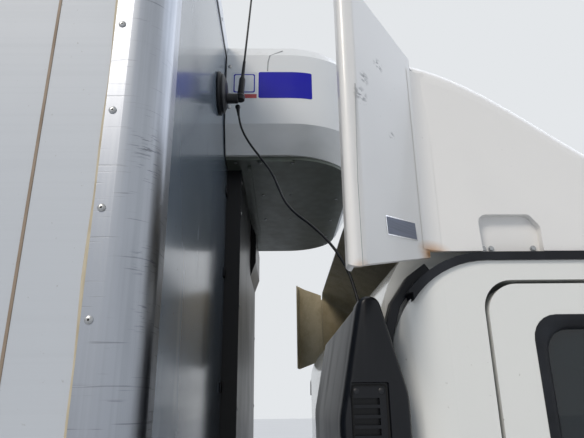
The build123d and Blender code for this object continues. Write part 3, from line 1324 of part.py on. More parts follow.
def fairing_wing():
    """Left side wing that flares out from the fold and turns in at its rear rim."""
    t = FAIRING_T
    out = WING_OUT
    plan = flat_face([
        (FOLD_X - SEAT, CAB_HALF, 0), (WING_REAR + 22, out - 6, 10), (WING_REAR, out, 10),
        (WING_REAR, out - 36, 3), (WING_REAR + t, out - 36, 3), (WING_REAR + t, out - 9, 4),
        (WING_REAR + 20, out - 6 - t, 8), (FOLD_X - SEAT, CAB_HALF - t, 0)])
    wing = extrude(Plane((0, 0, WING_BOTTOM - 30)) * plan, amount=WING_TOP - WING_BOTTOM + 60, dir=(0, 0, 1))
    side = prism("y", [
        (FOLD_X, CAB_GUTTER + 1, 0), (FOLD_X - 5, SHOULDER_TOP - 10, 0), (WING_REAR + 43, WING_TOP - 21, 60),
        (WING_REAR + 14, WING_TOP, 0), (WING_REAR - 5, WING_TOP, 0), (WING_REAR - 5, WING_BOTTOM, 16)],
        0, out + 20)
    return wing & side


def fairing_wings():
    """Both wings."""
    wing = fairing_wing()
    return group(wing, other_side(wing))


def roof_seal(outer):
    """Black rubber along the gutter and down round the cab's rear corners."""
    z = CAB_GUTTER
    low = z - 200
    end = FAIRING_FRONT + 20
    strip = prism("y", [
        (CAB_REAR + 2, low, 0), (CAB_REAR + 2, SEAL_TOP, ROOF_CORNER + 12), (end, SEAL_TOP, 0),
        (end, z - 4, 0), (CAB_REAR + 15, z - 4, ROOF_CORNER), (CAB_REAR + 15, low, 0)],
        CAB_HALF - 36, CAB_HALF + 4)
    strip -= block(CAB_REAR, CAB_REAR + 40, CAB_HALF - 40, CAB_HALF + 10, low - 5, SEAL_LOW)
    strip -= outer
    strip = strip.solids().sort_by(SortBy.VOLUME)[-1]
    return group(strip, other_side(strip))


def build():
    """Make every piece and give it its node's name."""
    outer = cab_solid(0)
    inner = cab_solid(CAB_SKIN)
    shell = fairing_shell(outer)
    wings = fairing_wings()
    dash_inner = cab_solid(CAB_SKIN + SEAT)
    head = intake()
    tyre_front = tyre(AXLE_FRONT, FRONT_TRACK / 2)
    rear_inner = tyre(AXLE_REAR, REAR_TRACK / 2 - TWIN_PITCH / 2)
    rear_outer = tyre(AXLE_REAR, REAR_TRACK / 2 + TWIN_PITCH / 2)
    rear_tyres = group(rear_inner, rear_outer)
    wheel_front = front_wheel()
    wheel_rear = rear_wheels()
    steer = knuckle()
    leaf = rear_door()
    gear = rear_door_gear()
    return {
        "chassis_frame": chassis_frame(),
        "front_axle": front_axle(),
        "rear_axle": rear_axle(),
        "engine_block": engine_block(),
        "exhaust": exhaust(),
        "fuel_tank": fuel_tank(),
        "battery_box": battery_box(),
        "front_bumper": front_bumper(),
        "rear_mudguards": rear_mudguards(),
        "guard_rails": guard_rails(),
        "tail_lamps": tail_lamps(),
        "knuckle_left": steer,
        "knuckle_right": other_side(steer),
        "track_rod": track_rod(),
        "front_rim_left": wheel_front,
        "front_rim_right": other_side(wheel_front),
        "front_tyre_left": tyre_front,
        "front_tyre_right": other_side(tyre_front),
        "rear_rims_left": wheel_rear,
        "rear_rims_right": other_side(wheel_rear),
        "rear_tyres_left": rear_tyres,
        "rear_tyres_right": group(other_side(rear_inner), other_side(rear_outer)),
        "box_floor": box_floor(),
        "box_side_walls": box_side_walls(),
        "box_front_wall": box_front_wall(),
        "box_roof": box_roof(),
        "front_corner_posts": front_corner_posts(),
        "box_edge_rails": box_edge_rails(),
        "rear_portal": rear_portal(),
        "rear_door_left": leaf,
        "rear_door_right": other_side(leaf),
        "rear_door_gear_left": gear,
        "rear_door_gear_right": group(*[other_side(solid) for solid in gear.solids()]),
        "unit_housing": unit_housing(),
        "unit_base": unit_base(),
        "unit_grille": unit_grille(),
        "unit_motors": unit_motors(),
        "unit_fan_left": unit_fan(1),
        "unit_fan_right": unit_fan(-1),
        "wall_guard": wall_guard(),
        "antenna": antenna(),
        "antenna_cable": antenna_cable(head),
        "cab_shell": cab_shell(outer, inner),
        "cab_floor": cab_floor(),
        "front_panel": front_panel(),
        "headlamps": headlamps(),
        "cab_door_left": cab_door(outer, inner, 1),
        "cab_door_right": cab_door(outer, inner, -1),
        "door_glass_left": door_glass(1),
        "door_glass_right": door_glass(-1),
        "cab_glazing": cab_glazing(),
        "cab_steps": cab_steps(),
        "air_intake": head,
        "mirrors": mirror_pair(outer),
        "seats": seats(),
        "dashboard": dashboard(dash_inner),
        "steering_wheel": steering_wheel(),
        "fairing_shell": shell,
        "fairing_wings": wings,
        "roof_seal": roof_seal(outer),
    }


os.makedirs("parts", exist_ok=True)
for name, piece in build().items():
    export_step(piece, f"parts/{name}.step")
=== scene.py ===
"""Refrigerated truck, dressed round its CAD model. Sizes are in millimetres unless a comment says so."""
import logging
import math
from dataclasses import dataclass
from enum import Enum
from typing import Iterable, Optional, Sequence

import bmesh
import bpy
from mathutils import Matrix, Vector


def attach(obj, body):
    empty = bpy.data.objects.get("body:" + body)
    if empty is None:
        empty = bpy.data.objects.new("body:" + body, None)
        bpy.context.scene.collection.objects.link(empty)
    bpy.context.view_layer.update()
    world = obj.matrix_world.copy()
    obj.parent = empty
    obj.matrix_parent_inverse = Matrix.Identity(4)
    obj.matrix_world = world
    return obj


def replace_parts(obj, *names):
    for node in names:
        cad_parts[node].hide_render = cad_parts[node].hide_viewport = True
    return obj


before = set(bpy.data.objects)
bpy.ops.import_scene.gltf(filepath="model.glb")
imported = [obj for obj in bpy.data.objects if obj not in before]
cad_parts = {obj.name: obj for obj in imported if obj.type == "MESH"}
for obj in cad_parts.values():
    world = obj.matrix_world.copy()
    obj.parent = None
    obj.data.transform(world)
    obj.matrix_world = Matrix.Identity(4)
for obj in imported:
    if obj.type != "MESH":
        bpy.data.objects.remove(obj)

LOG = logging.getLogger("refrigerated_truck")
Point = Sequence[float]
Pair = tuple[float, float]
Triple = tuple[float, float, float]
Rows = tuple[float, ...]

MM = 0.001
FORWARD, REARWARD, UPWARD, DOWNWARD = (1, 0, 0), (-1, 0, 0), (0, 0, 1), (0, 0, -1)
SIDES = (-1, 1)
# Point on the truck's middle line, in metres, that inner faces look at
MIDDLE_LINE = (0.0, 0.0, 2.2)
# Lowest roughness of a finish
SMOOTHEST = 0.03
# Colour sockets of a mixing node
MIX_A, MIX_B = 6, 7
# How deep a screw's head goes into its seat
SUNK = 0.6
# Angles in degrees below which a bend counts as smooth, first of laminate and cloth, then of rubber
SMOOTH, SOFT = 60.0, 50.0


# Ways and sides


class Side(Enum):
    """Side of the truck, as the sign of its Y."""

    LEFT = 1
    RIGHT = -1

    @property
    def word(self) -> str:
        """Side as a body's or node's name ends."""
        return self.name.lower()


class Pattern(Enum):
    """What a layer of a finish is drawn with."""

    CLOUD = "ShaderNodeTexNoise"
    CELL = "ShaderNodeTexVoronoi"


class Mask(Enum):
    """Where on a piece a layer shows."""

    ALL = "all over"
    INWARD = "faces that look at the truck's middle line"
    LOW = "faces that look down"
    TOP = "faces that look up"


# Finishes


def linear(code: str) -> tuple[float, float, float, float]:
    """Turns an sRGB hex value to a linear colour.

    Args:
        code: Colour as "#RRGGBB".

    Returns:
        Red, green, blue and alpha, linear.
    """
    parts = [int(code[i:i + 2], 16) / 255 for i in (1, 3, 5)]
    lin = [c / 12.92 if c <= 0.04045 else ((c + 0.055) / 1.055) ** 2.4 for c in parts]
    return lin[0], lin[1], lin[2], 1.0


def node(tree: bpy.types.NodeTree, kind: str, settings: Optional[dict] = None,
         links: Optional[dict] = None) -> bpy.types.Node:
    """Adds a node with its settings and links.

    Args:
        tree: Material's node tree.
        kind: Node's type.
        settings: Attributes of the node, or values of its inputs by name or number.
        links: Output sockets by the name or number of the input that each one feeds; None feeds nothing.

    Returns:
        The new node.
    """
    new = tree.nodes.new(kind)
    for key, value in (settings or {}).items():
        if isinstance(key, str) and hasattr(new, key):
            setattr(new, key, value)
        else:
            new.inputs[key].default_value = value
    for key, socket in (links or {}).items():
        if socket is not None:
            tree.links.new(socket, new.inputs[key])
    return new


@dataclass(frozen=True)
class Spot:
    """Round patch on a piece, by its middle and reach."""

    at: Triple
    reach: float
    squash: Triple = (1.0, 1.0, 1.0)


@dataclass(frozen=True)
class Layer:
    """One pattern over a finish: its size, one for all ways or three, and what it does to the surface."""

    size: float | Triple
    colour: Optional[str] = None
    share: float = 0.5
    low: float = 0.4
    high: float = 0.6
    rough: float = 0.0
    relief: float = 0.0
    pattern: Pattern = Pattern.CLOUD
    detail: float = 2.0
    mask: Mask = Mask.ALL
    spots: tuple[Spot, ...] = ()


@dataclass(frozen=True)
class Finish:
    """Surface of a real material, from its own colour and gloss and the layers on it."""

    name: str
    colour: str
    roughness: float
    metallic: float = 0.0
    ior: float = 1.5
    specular: float = 0.5
    coat: float = 0.0
    coat_roughness: float = 0.08
    alpha: float = 1.0
    sheen: float = 0.0
    layers: tuple[Layer, ...] = ()

    def build(self) -> bpy.types.Material:
        """Makes the material, or gives the one made before.

        Returns:
            The material.
        """
        ready = bpy.data.materials.get(self.name)
        if ready is not None:
            return ready
        material = bpy.data.materials.new(self.name)
        material.use_nodes = True
        tree = material.node_tree
        tree.nodes.clear()
        out = node(tree, "ShaderNodeOutputMaterial")
        shader = node(tree, "ShaderNodeBsdfPrincipled", {
            "Base Color": linear(self.colour), "Roughness": self.roughness, "Metallic": self.metallic,
            "IOR": self.ior, "Specular IOR Level": self.specular, "Coat Weight": self.coat,
            "Coat Roughness": self.coat_roughness, "Alpha": self.alpha, "Sheen Weight": self.sheen})
        tree.links.new(shader.outputs[0], out.inputs[0])
        self._lay(tree, shader)
        return material

    def _lay(self, tree: bpy.types.NodeTree, shader: bpy.types.Node) -> None:
        """Lays the layers over the shader.

        Args:
            tree: Material's node tree.
            shader: Principled shader that they feed.
        """
        place = node(tree, "ShaderNodeTexCoord")
        colour = rough = relief = None
        for layer in self.layers:
            share = self._share(tree, place, layer)
            if layer.colour is not None:
                colour = node(tree, "ShaderNodeMix", {
                    "data_type": "RGBA", MIX_A: linear(self.colour), MIX_B: linear(layer.colour)},
                    {0: share, MIX_A: colour}).outputs[2]
            if layer.rough:
                rough = node(tree, "ShaderNodeMath", {
                    "operation": "MULTIPLY_ADD", 1: layer.rough, 2: self.roughness},
                    {0: share, 2: rough}).outputs[0]
            if layer.relief:
                relief = node(tree, "ShaderNodeMath", {"operation": "MULTIPLY_ADD", 1: layer.relief, 2: 0.0},
                              {0: share, 2: relief}).outputs[0]
        if rough is not None:
            rough = node(tree, "ShaderNodeClamp", {"Min": SMOOTHEST, "Max": 1.0}, {0: rough}).outputs[0]
        if relief is not None:
            relief = node(tree, "ShaderNodeBump", {"Strength": 1.0, "Distance": MM},
                          {"Height": relief}).outputs[0]
        for name, socket in (("Base Color", colour), ("Roughness", rough), ("Normal", relief)):
            if socket is not None:
                tree.links.new(socket, shader.inputs[name])

    def _share(self, tree: bpy.types.NodeTree, place: bpy.types.Node, layer: Layer) -> bpy.types.NodeSocket:
        """How much of a layer shows at each point.

        Args:
            tree: Material's node tree.
            place: Texture coordinates.
            layer: Layer to draw.

        Returns:
            Socket with a value from 0 to the layer's share.
        """
        sizes = layer.size if isinstance(layer.size, tuple) else (layer.size,) * 3
        scaled = node(tree, "ShaderNodeVectorMath", {
            "operation": "MULTIPLY", 1: [1 / (s * MM) for s in sizes]}, {0: place.outputs["Object"]})
        cells = layer.pattern is Pattern.CELL
        texture = node(tree, layer.pattern.value, {"Scale": 1.0} if cells else {
            "Scale": 1.0, "Detail": layer.detail}, {"Vector": scaled.outputs[0]})
        share = node(tree, "ShaderNodeMapRange", {
            "From Min": layer.low, "From Max": layer.high, "To Min": 0.0, "To Max": layer.share},
            {"Value": texture.outputs["Distance" if cells else "Fac"]}).outputs[0]
        for gate in self._gates(tree, place, layer):
            share = node(tree, "ShaderNodeMath", {"operation": "MULTIPLY"}, {0: share, 1: gate}).outputs[0]
        return share

    def _gates(self, tree: bpy.types.NodeTree, place: bpy.types.Node,
               layer: Layer) -> Iterable[bpy.types.NodeSocket]:
        """Values from 0 to 1 that keep a layer to its mask and its spots.

        Args:
            tree: Material's node tree.
            place: Texture coordinates.
            layer: Layer to keep in place.

        Yields:
            One socket for the mask and one for the spots.
        """
        here, facing = place.outputs["Object"], place.outputs["Normal"]
        if layer.mask is Mask.INWARD:
            axis = node(tree, "ShaderNodeVectorMath", {"operation": "SUBTRACT", 1: MIDDLE_LINE}, {0: here})
            out = node(tree, "ShaderNodeVectorMath", {"operation": "MULTIPLY", 1: (0.0, 1.0, 1.0)},
                       {0: axis.outputs[0]})
            dot = node(tree, "ShaderNodeVectorMath", {"operation": "DOT_PRODUCT"},
                       {0: facing, 1: out.outputs[0]})
            yield node(tree, "ShaderNodeMapRange", {
                "From Min": -0.02, "From Max": -0.06, "To Min": 0.0, "To Max": 1.0},
                {"Value": dot.outputs["Value"]}).outputs[0]
        elif layer.mask is not Mask.ALL:
            way = -1.0 if layer.mask is Mask.LOW else 1.0
            parts = node(tree, "ShaderNodeSeparateXYZ", {}, {0: facing})
            yield node(tree, "ShaderNodeMapRange", {
                "From Min": 0.2 * way, "From Max": 0.7 * way, "To Min": 0.0, "To Max": 1.0},
                {"Value": parts.outputs[2]}).outputs[0]
        total = None
        for spot in layer.spots:
            away = node(tree, "ShaderNodeVectorMath", {
                "operation": "SUBTRACT", 1: [c * MM for c in spot.at]}, {0: here})
            eased = node(tree, "ShaderNodeVectorMath", {"operation": "MULTIPLY", 1: spot.squash},
                         {0: away.outputs[0]})
            far = node(tree, "ShaderNodeVectorMath", {"operation": "LENGTH"}, {0: eased.outputs[0]})
            near = node(tree, "ShaderNodeMapRange", {
                "From Min": spot.reach * MM, "From Max": 0.0, "To Min": 0.0, "To Max": 1.0},
                {"Value": far.outputs["Value"]}).outputs[0]
            total = near if total is None else node(
                tree, "ShaderNodeMath", {"operation": "MAXIMUM"}, {0: total, 1: near}).outputs[0]
        if total is not None:
            yield total


# Gel coat on hand-laid glass fibre: sprayed white skin in the mould, so it is smooth and glossy outside.
# Raw side shows the brown-yellow resin and the strands, 30 to 50 mm long, that were rolled into it.
FAIRING_LAMINATE = Finish("fairing_gelcoat_laminate", "#E4E3E1", 0.32, coat=0.25, layers=(
    Layer(260, "#CFCFCF", 0.45, 0.45, 0.7, rough=0.08),
    Layer(9, "#A6A39D", 0.35, 0.72, 0.76, detail=5),
    Layer((9, 9, 4), "#3A3B42", 1.0, 0.46, 0.56, detail=6, spots=(
        Spot((1714, -1097, 2358), 16), Spot((1721, -1091, 2389), 12), Spot((1747, -1066, 2427), 13),
        Spot((1762, -1051, 2321), 8))),
    Layer((60, 60, 25), "#BC8436", 0.95, 0.3, 0.5, detail=4, spots=(
        Spot((1814, -1001, 2162), 34, (1, 1, 1.7)), Spot((1700, -1104, 2114), 14, (1, 1, 0.8)))),
    Layer(9, "#5A3216", 1.0, 0.4, 0.55, detail=4, spots=(
        Spot((1816, -1001, 2160), 12, (1, 1, 2)),)),
    Layer(1000, "#B7A887", 1.0, -1, 0, rough=0.35, mask=Mask.INWARD),
    Layer(70, "#9A8A68", 0.6, 0.42, 0.66, detail=4, mask=Mask.INWARD),
    Layer((3, 45, 6), "#CDC2A2", 0.4, 0.52, 0.68, relief=0.25, detail=3, mask=Mask.INWARD),
))
# Same laminate on the cooling unit's cover, cleaner, with the dust that settles on its lid and painted
# greenish shade under it.
UNIT_LAMINATE = Finish("unit_gelcoat_laminate", "#E6E8E9", 0.3, coat=0.2, layers=(
    Layer(300, "#D2D5D8", 0.4, 0.45, 0.7, rough=0.06),
    Layer(30, "#9E9A90", 0.35, 0.55, 0.75, detail=5, mask=Mask.TOP),
    # Painted shade and painted reflection: faces that look down turn a darker greenish grey.
    Layer((160, 160, 80), "#8C938E", 0.35, 0.4, 0.7, detail=3, mask=Mask.LOW),
))
# Coil-coated skin of a sandwich panel: rolled flat, so fine level streaks cross its even grey-white gloss.
PANEL_SKIN = Finish("panel_coil_coat", "#C0C5CB", 0.5, layers=(
    Layer((900, 900, 5), "#B9BEC4", 0.35, 0.45, 0.7, rough=0.08, detail=3),
    Layer((350, 350, 900), "#B4B8BE", 0.35, 0.45, 0.75),
    Layer(7, "#7D7B76", 0.4, 0.7, 0.76, detail=4),
))
# Gel-coated bulkhead in blue grey, polished by the mould: it mirrors what stands before it.
BULKHEAD_SKIN = Finish("bulkhead_gelcoat_gloss", "#7F8B98", 0.2, coat=0.45, coat_roughness=0.12, layers=(
    Layer((500, 500, 800), "#7E8B99", 0.5, 0.4, 0.7),
    Layer(8, "#2F3238", 0.6, 0.71, 0.76, detail=3),
    Layer((60, 60, 160), "#A9B0B5", 0.35, 0.55, 0.75, rough=0.12, detail=4),
))
# Extruded mill-finish aluminium: die lines along it, handling scratches across them, and a painted dark
# reflection on its rounded corner.
POST_ALUMINIUM = Finish("extruded_aluminium_mill", "#A6AAB2", 0.3, metallic=1.0, layers=(
    Layer((5, 5, 900), "#9A9FA6", 0.5, 0.42, 0.68, rough=0.16, detail=3),
    Layer((55, 55, 260), "#84888F", 0.45, 0.45, 0.7, rough=0.14, detail=5),
    Layer((70, 70, 3), "#6F7379", 0.55, 0.64, 0.7, rough=0.2, relief=-0.05, detail=2),
    # Painted reflection: dark blue-grey bands on the near post's rounded corner.
    Layer((22, 22, 2.5), "#4A4D55", 0.8, 0.57, 0.64, detail=4, spots=(
        Spot((1448, -1140, 2262), 30, (1, 1, 1)), Spot((1452, -1136, 2235), 26),
        Spot((1455, -1130, 2120), 26), Spot((1455, -1130, 2060), 22))),
))
# Anodised aluminium section of the rails and guards: an even satin without die lines.
RAIL_ALUMINIUM = Finish("anodised_aluminium_section", "#B9BCC0", 0.36, metallic=1.0, layers=(
    Layer((900, 6, 6), "#9EA2A8", 0.45, 0.42, 0.68, rough=0.12, detail=3),
    Layer((120, 60, 60), "#8A8D90", 0.4, 0.5, 0.75, rough=0.15, detail=5),
))
# Rolled stainless steel of the door frame and its gear: long fine brushing.
STAINLESS = Finish("brushed_stainless_steel", "#B5B7B8", 0.3, metallic=1.0, layers=(
    Layer((6, 6, 500), "#989B9D", 0.45, 0.42, 0.68, rough=0.12, detail=3),
    Layer(90, "#7C7A74", 0.4, 0.55, 0.78, rough=0.15, detail=5),
))
# Stove enamel on pressed steel: deep gloss under clear lacquer with a slight orange peel.
CAB_ENAMEL = Finish("stove_enamel_white", "#DFE0DD", 0.22, coat=0.6, coat_roughness=0.06, layers=(
    Layer(400, "#CFD0CD", 0.35, 0.45, 0.7),
    Layer(11, "#8C877C", 0.45, 0.7, 0.76, detail=4),
    Layer(3.5, None, 1.0, 0.3, 0.7, relief=0.02),
))
# Chassis black: thick paint dipped over rolled steel, dulled by road dust.
CHASSIS_BLACK = Finish("chassis_paint_black", "#26272A", 0.5, coat=0.1, layers=(
    Layer(90, "#5A544B", 0.5, 0.5, 0.75, rough=0.25, detail=5),
    Layer(25, "#6E3F22", 0.6, 0.66, 0.74, rough=0.2, detail=5),
))
# Sand-cast iron and forged steel of axle, hub and block: coarse skin with a film of oil and dust.
CAST_IRON = Finish("cast_iron_axle", "#3A3A3B", 0.55, metallic=0.6, layers=(
    Layer(4, "#2A2A2B", 0.5, 0.4, 0.65, relief=0.25, detail=3),
    Layer(60, "#6A4A30", 0.55, 0.55, 0.75, rough=0.2, detail=5),
))
# Aluminised steel of the silencer: dull grey that burns brown with heat.
EXHAUST_STEEL = Finish("aluminised_steel_exhaust", "#8A867E", 0.45, metallic=0.9, layers=(
    Layer(70, "#6B4630", 0.7, 0.48, 0.7, rough=0.2, detail=5),
    Layer(6, "#5A564F", 0.4, 0.5, 0.7, relief=0.1, detail=3),
))
# Silver enamel on pressed wheel discs, with brake dust in it.
RIM_ENAMEL = Finish("wheel_enamel_silver", "#B4B7BA", 0.38, metallic=0.35, coat=0.3, layers=(
    Layer(45, "#6B5A48", 0.5, 0.52, 0.74, rough=0.2, detail=5),
    Layer(5, "#84878A", 0.3, 0.45, 0.7, relief=0.05),
))
# Vulcanised tyre rubber: matt black with grey dust in its grooves.
TYRE_RUBBER = Finish("vulcanised_tyre_rubber", "#232323", 0.78, layers=(
    Layer(60, "#45423E", 0.5, 0.45, 0.72, detail=5),
    Layer(2.2, "#1B1B1B", 0.4, 0.4, 0.65, relief=0.12, detail=2),
))
# Extruded EPDM rubber of seals: satin black that greys with age.
SEAL_RUBBER = Finish("epdm_seal_rubber", "#15171C", 0.4, specular=0.25, layers=(
    Layer(60, "#2A2D33", 0.5, 0.45, 0.72, rough=0.15, detail=4),
))
# Injection-moulded polypropylene with a fine spark-eroded grain, drawn 3 mm wide, which is coarser than real.
MOULDED_BLACK = Finish("moulded_polypropylene_black", "#191B20", 0.42, specular=0.35, layers=(
    Layer(3, "#121317", 0.5, 0.4, 0.65, relief=0.05, detail=2),
    Layer((120, 120, 200), "#2E3239", 0.45, 0.5, 0.75, rough=0.15, detail=5),
))
# Blow-moulded polyethylene of the intake: no grain, a dull polish and scuffs where branches brushed it.
INTAKE_BLACK = Finish("blow_moulded_polyethylene_black", "#101217", 0.3, specular=0.28, layers=(
    Layer((90, 90, 260), "#20242B", 0.5, 0.45, 0.7, rough=0.14, detail=5),
))
# Same plastic without grain on the pipe cover, black through and through.
GUARD_BLACK = Finish("smooth_polypropylene_black", "#0F1014", 0.34, specular=0.25, layers=(
    Layer((150, 150, 250), "#1E2025", 0.5, 0.45, 0.7, rough=0.12, detail=4),
))
# Wound steel wire whip under black shrink sleeve.
WHIP_BLACK = Finish("antenna_sleeve_black", "#0E0F12", 0.35, specular=0.25, layers=(
    Layer(3, "#2B2D31", 0.5, 0.4, 0.65),
))
# Polished stainless steel of locks, plate rims, head rest posts and the bare nose badge.
BRIGHT_STEEL = Finish("polished_stainless_wire", "#D5D6D8", 0.16, metallic=1.0, layers=(
    Layer((3, 3, 30), "#A9ABAE", 0.4, 0.45, 0.7, rough=0.1),
))
# PVC jacket of the antenna lead.
CABLE_JACKET = Finish("pvc_cable_jacket", "#0E0F12", 0.45, specular=0.25, layers=(
    Layer(8, "#2A2B2E", 0.4, 0.45, 0.7, rough=0.1),
))
# Polyurethane sealant, gunned and smoothed with a finger, stained brown by water.
SEALANT_BROWN = Finish("polyurethane_sealant_brown", "#8F7F6E", 0.6, layers=(
    Layer((12, 12, 60), "#6C5A46", 0.6, 0.45, 0.68, relief=0.15, detail=4),
))
# Cream sealant that has squeezed out beside the corner post.
SEALANT_CREAM = Finish("polyurethane_sealant_cream", "#BDB39C", 0.55, layers=(
    Layer((10, 10, 50), "#8F8067", 0.6, 0.45, 0.68, relief=0.2, detail=4),
))
# Toughened green-tinted glass: dark inside, mirror-like outside.
TINTED_GLASS = Finish("toughened_glass_green", "#0B161B", 0.04, ior=1.52, alpha=0.84, coat=0.3,
                      coat_roughness=0.02, layers=(
                          Layer(300, "#14262C", 0.5, 0.4, 0.7),
                      ))
# Silvered mirror glass.
MIRROR_GLASS = Finish("silvered_mirror_glass", "#C9CED2", 0.03, metallic=1.0, layers=(
    Layer(90, "#B4BABF", 0.3, 0.45, 0.7, rough=0.02),
))
# Clear polycarbonate lens over a bright reflector.
CLEAR_LENS = Finish("polycarbonate_lens_clear", "#C3C9CC", 0.08, ior=1.585, alpha=0.45, coat=1.0,
                    coat_roughness=0.03, layers=(
                        Layer((14, 14, 400), "#A7AEB3", 0.4, 0.4, 0.6),
                    ))
# Acrylic lens, dyed in the mass, with its prisms moulded inside.
RED_LENS = Finish("acrylic_lens_red", "#8E1214", 0.15, ior=1.49, coat=0.8, layers=(
    Layer(5, "#5E0A0C", 0.5, 0.35, 0.65, relief=0.25, pattern=Pattern.CELL),
))
AMBER_LENS = Finish("acrylic_lens_amber", "#C9690E", 0.15, ior=1.49, coat=0.8, layers=(
    Layer(5, "#8A4206", 0.5, 0.35, 0.65, relief=0.25, pattern=Pattern.CELL),
))
# Vacuum-metallised reflector.
REFLECTOR = Finish("metallised_reflector", "#DADDE0", 0.08, metallic=1.0, layers=(
    Layer(18, "#B9BDC1", 0.4, 0.4, 0.65, relief=0.2, pattern=Pattern.CELL),
))
# Printed vinyl film, bare: one even colour with a satin face.
BLUE_FILM = Finish("vinyl_film_blue", "#1510A6", 0.4, specular=0.3, layers=(
    Layer((120, 120, 60), "#23279E", 0.5, 0.4, 0.7, rough=0.08),
))
WHITE_FILM = Finish("vinyl_film_white", "#DDE1E6", 0.32, coat=0.3, layers=(
    Layer((40, 40, 30), "#C6CBD2", 0.5, 0.4, 0.7),
))
RED_FILM = Finish("vinyl_film_red", "#B43A3C", 0.34, coat=0.2, layers=(
    Layer((30, 30, 10), "#9C2F33", 0.5, 0.4, 0.7),
))
# Anodised badge plate, brushed along its length.
BADGE_PLATE = Finish("anodised_badge_plate", "#6A7080", 0.4, metallic=0.6, layers=(
    Layer((60, 60, 1.6), "#5D636D", 0.5, 0.4, 0.65, rough=0.1),
))
# Zinc-plated steel screws, bolts and rivets.
ZINC_STEEL = Finish("zinc_plated_steel", "#A9ABAD", 0.34, metallic=1.0, layers=(
    Layer(4, "#77736B", 0.5, 0.45, 0.7, rough=0.2, detail=4),
))
# Hole or gap that no light reaches.
DARK_GAP = Finish("unlit_gap", "#0B0C0E", 0.9, layers=(
    Layer(6, "#050506", 0.5, 0.4, 0.6),
))
# Galvanised sheet of the unit's tray, darkened to a greenish grey as painted shade and painted reflection of
# greenery: its spangles hardly show.
GALVANISED = Finish("galvanised_sheet_tray", "#59605A", 0.45, metallic=0.4, layers=(
    Layer(30, "#4D544C", 0.35, 0.3, 0.7, rough=0.08, pattern=Pattern.CELL),
    Layer(110, "#4E4B3D", 0.4, 0.5, 0.75, rough=0.15, detail=4),
))
# Narrow joint in white gel coat, filled by dust.
SEAM_GREY = Finish("dusty_seam_grey", "#9DA0A1", 0.6, layers=(
    Layer(20, "#83858A", 0.5, 0.45, 0.7),
))
# Wool-blend seat cloth: a plain weave of 2 mm threads, drawn 5 mm wide so that it shows.
SEAT_CLOTH = Finish("woven_seat_cloth_grey", "#3C3F47", 0.85, sheen=0.3, layers=(
    Layer(5, "#2C2F36", 0.6, 0.35, 0.65, relief=0.3, pattern=Pattern.CELL),
    Layer(90, "#51545B", 0.35, 0.45, 0.72, detail=3),
))
# Grained PVC of dash and wheel rim.
DASH_VINYL = Finish("grained_pvc_dash", "#3B3C3E", 0.6, layers=(
    Layer(3, "#2C2D2F", 0.5, 0.4, 0.65, relief=0.12, pattern=Pattern.CELL),
))
# Ribbed rubber mat on a painted floor pan.
FLOOR_MAT = Finish("floor_pan_paint_grey", "#3E3F41", 0.6, layers=(
    Layer((40, 900, 40), "#2B2C2E", 0.5, 0.45, 0.6, relief=0.3),
    Layer(90, "#5A544A", 0.4, 0.5, 0.75, detail=4),
))
# Plywood floor of the load space under a grip coat, and painted bearers.
LOAD_FLOOR = Finish("load_floor_grip_coat", "#4A4B4C", 0.7, layers=(
    Layer(4, "#2F3031", 0.5, 0.45, 0.65, relief=0.3, detail=2),
    Layer(200, "#6A655B", 0.4, 0.5, 0.75, detail=4),
))
STUDIO_FLOOR = Finish("studio_floor", "#DADBDC", 0.7, layers=(
    Layer(2500, "#D4D5D6", 0.4, 0.4, 0.7),
))


# Meshes


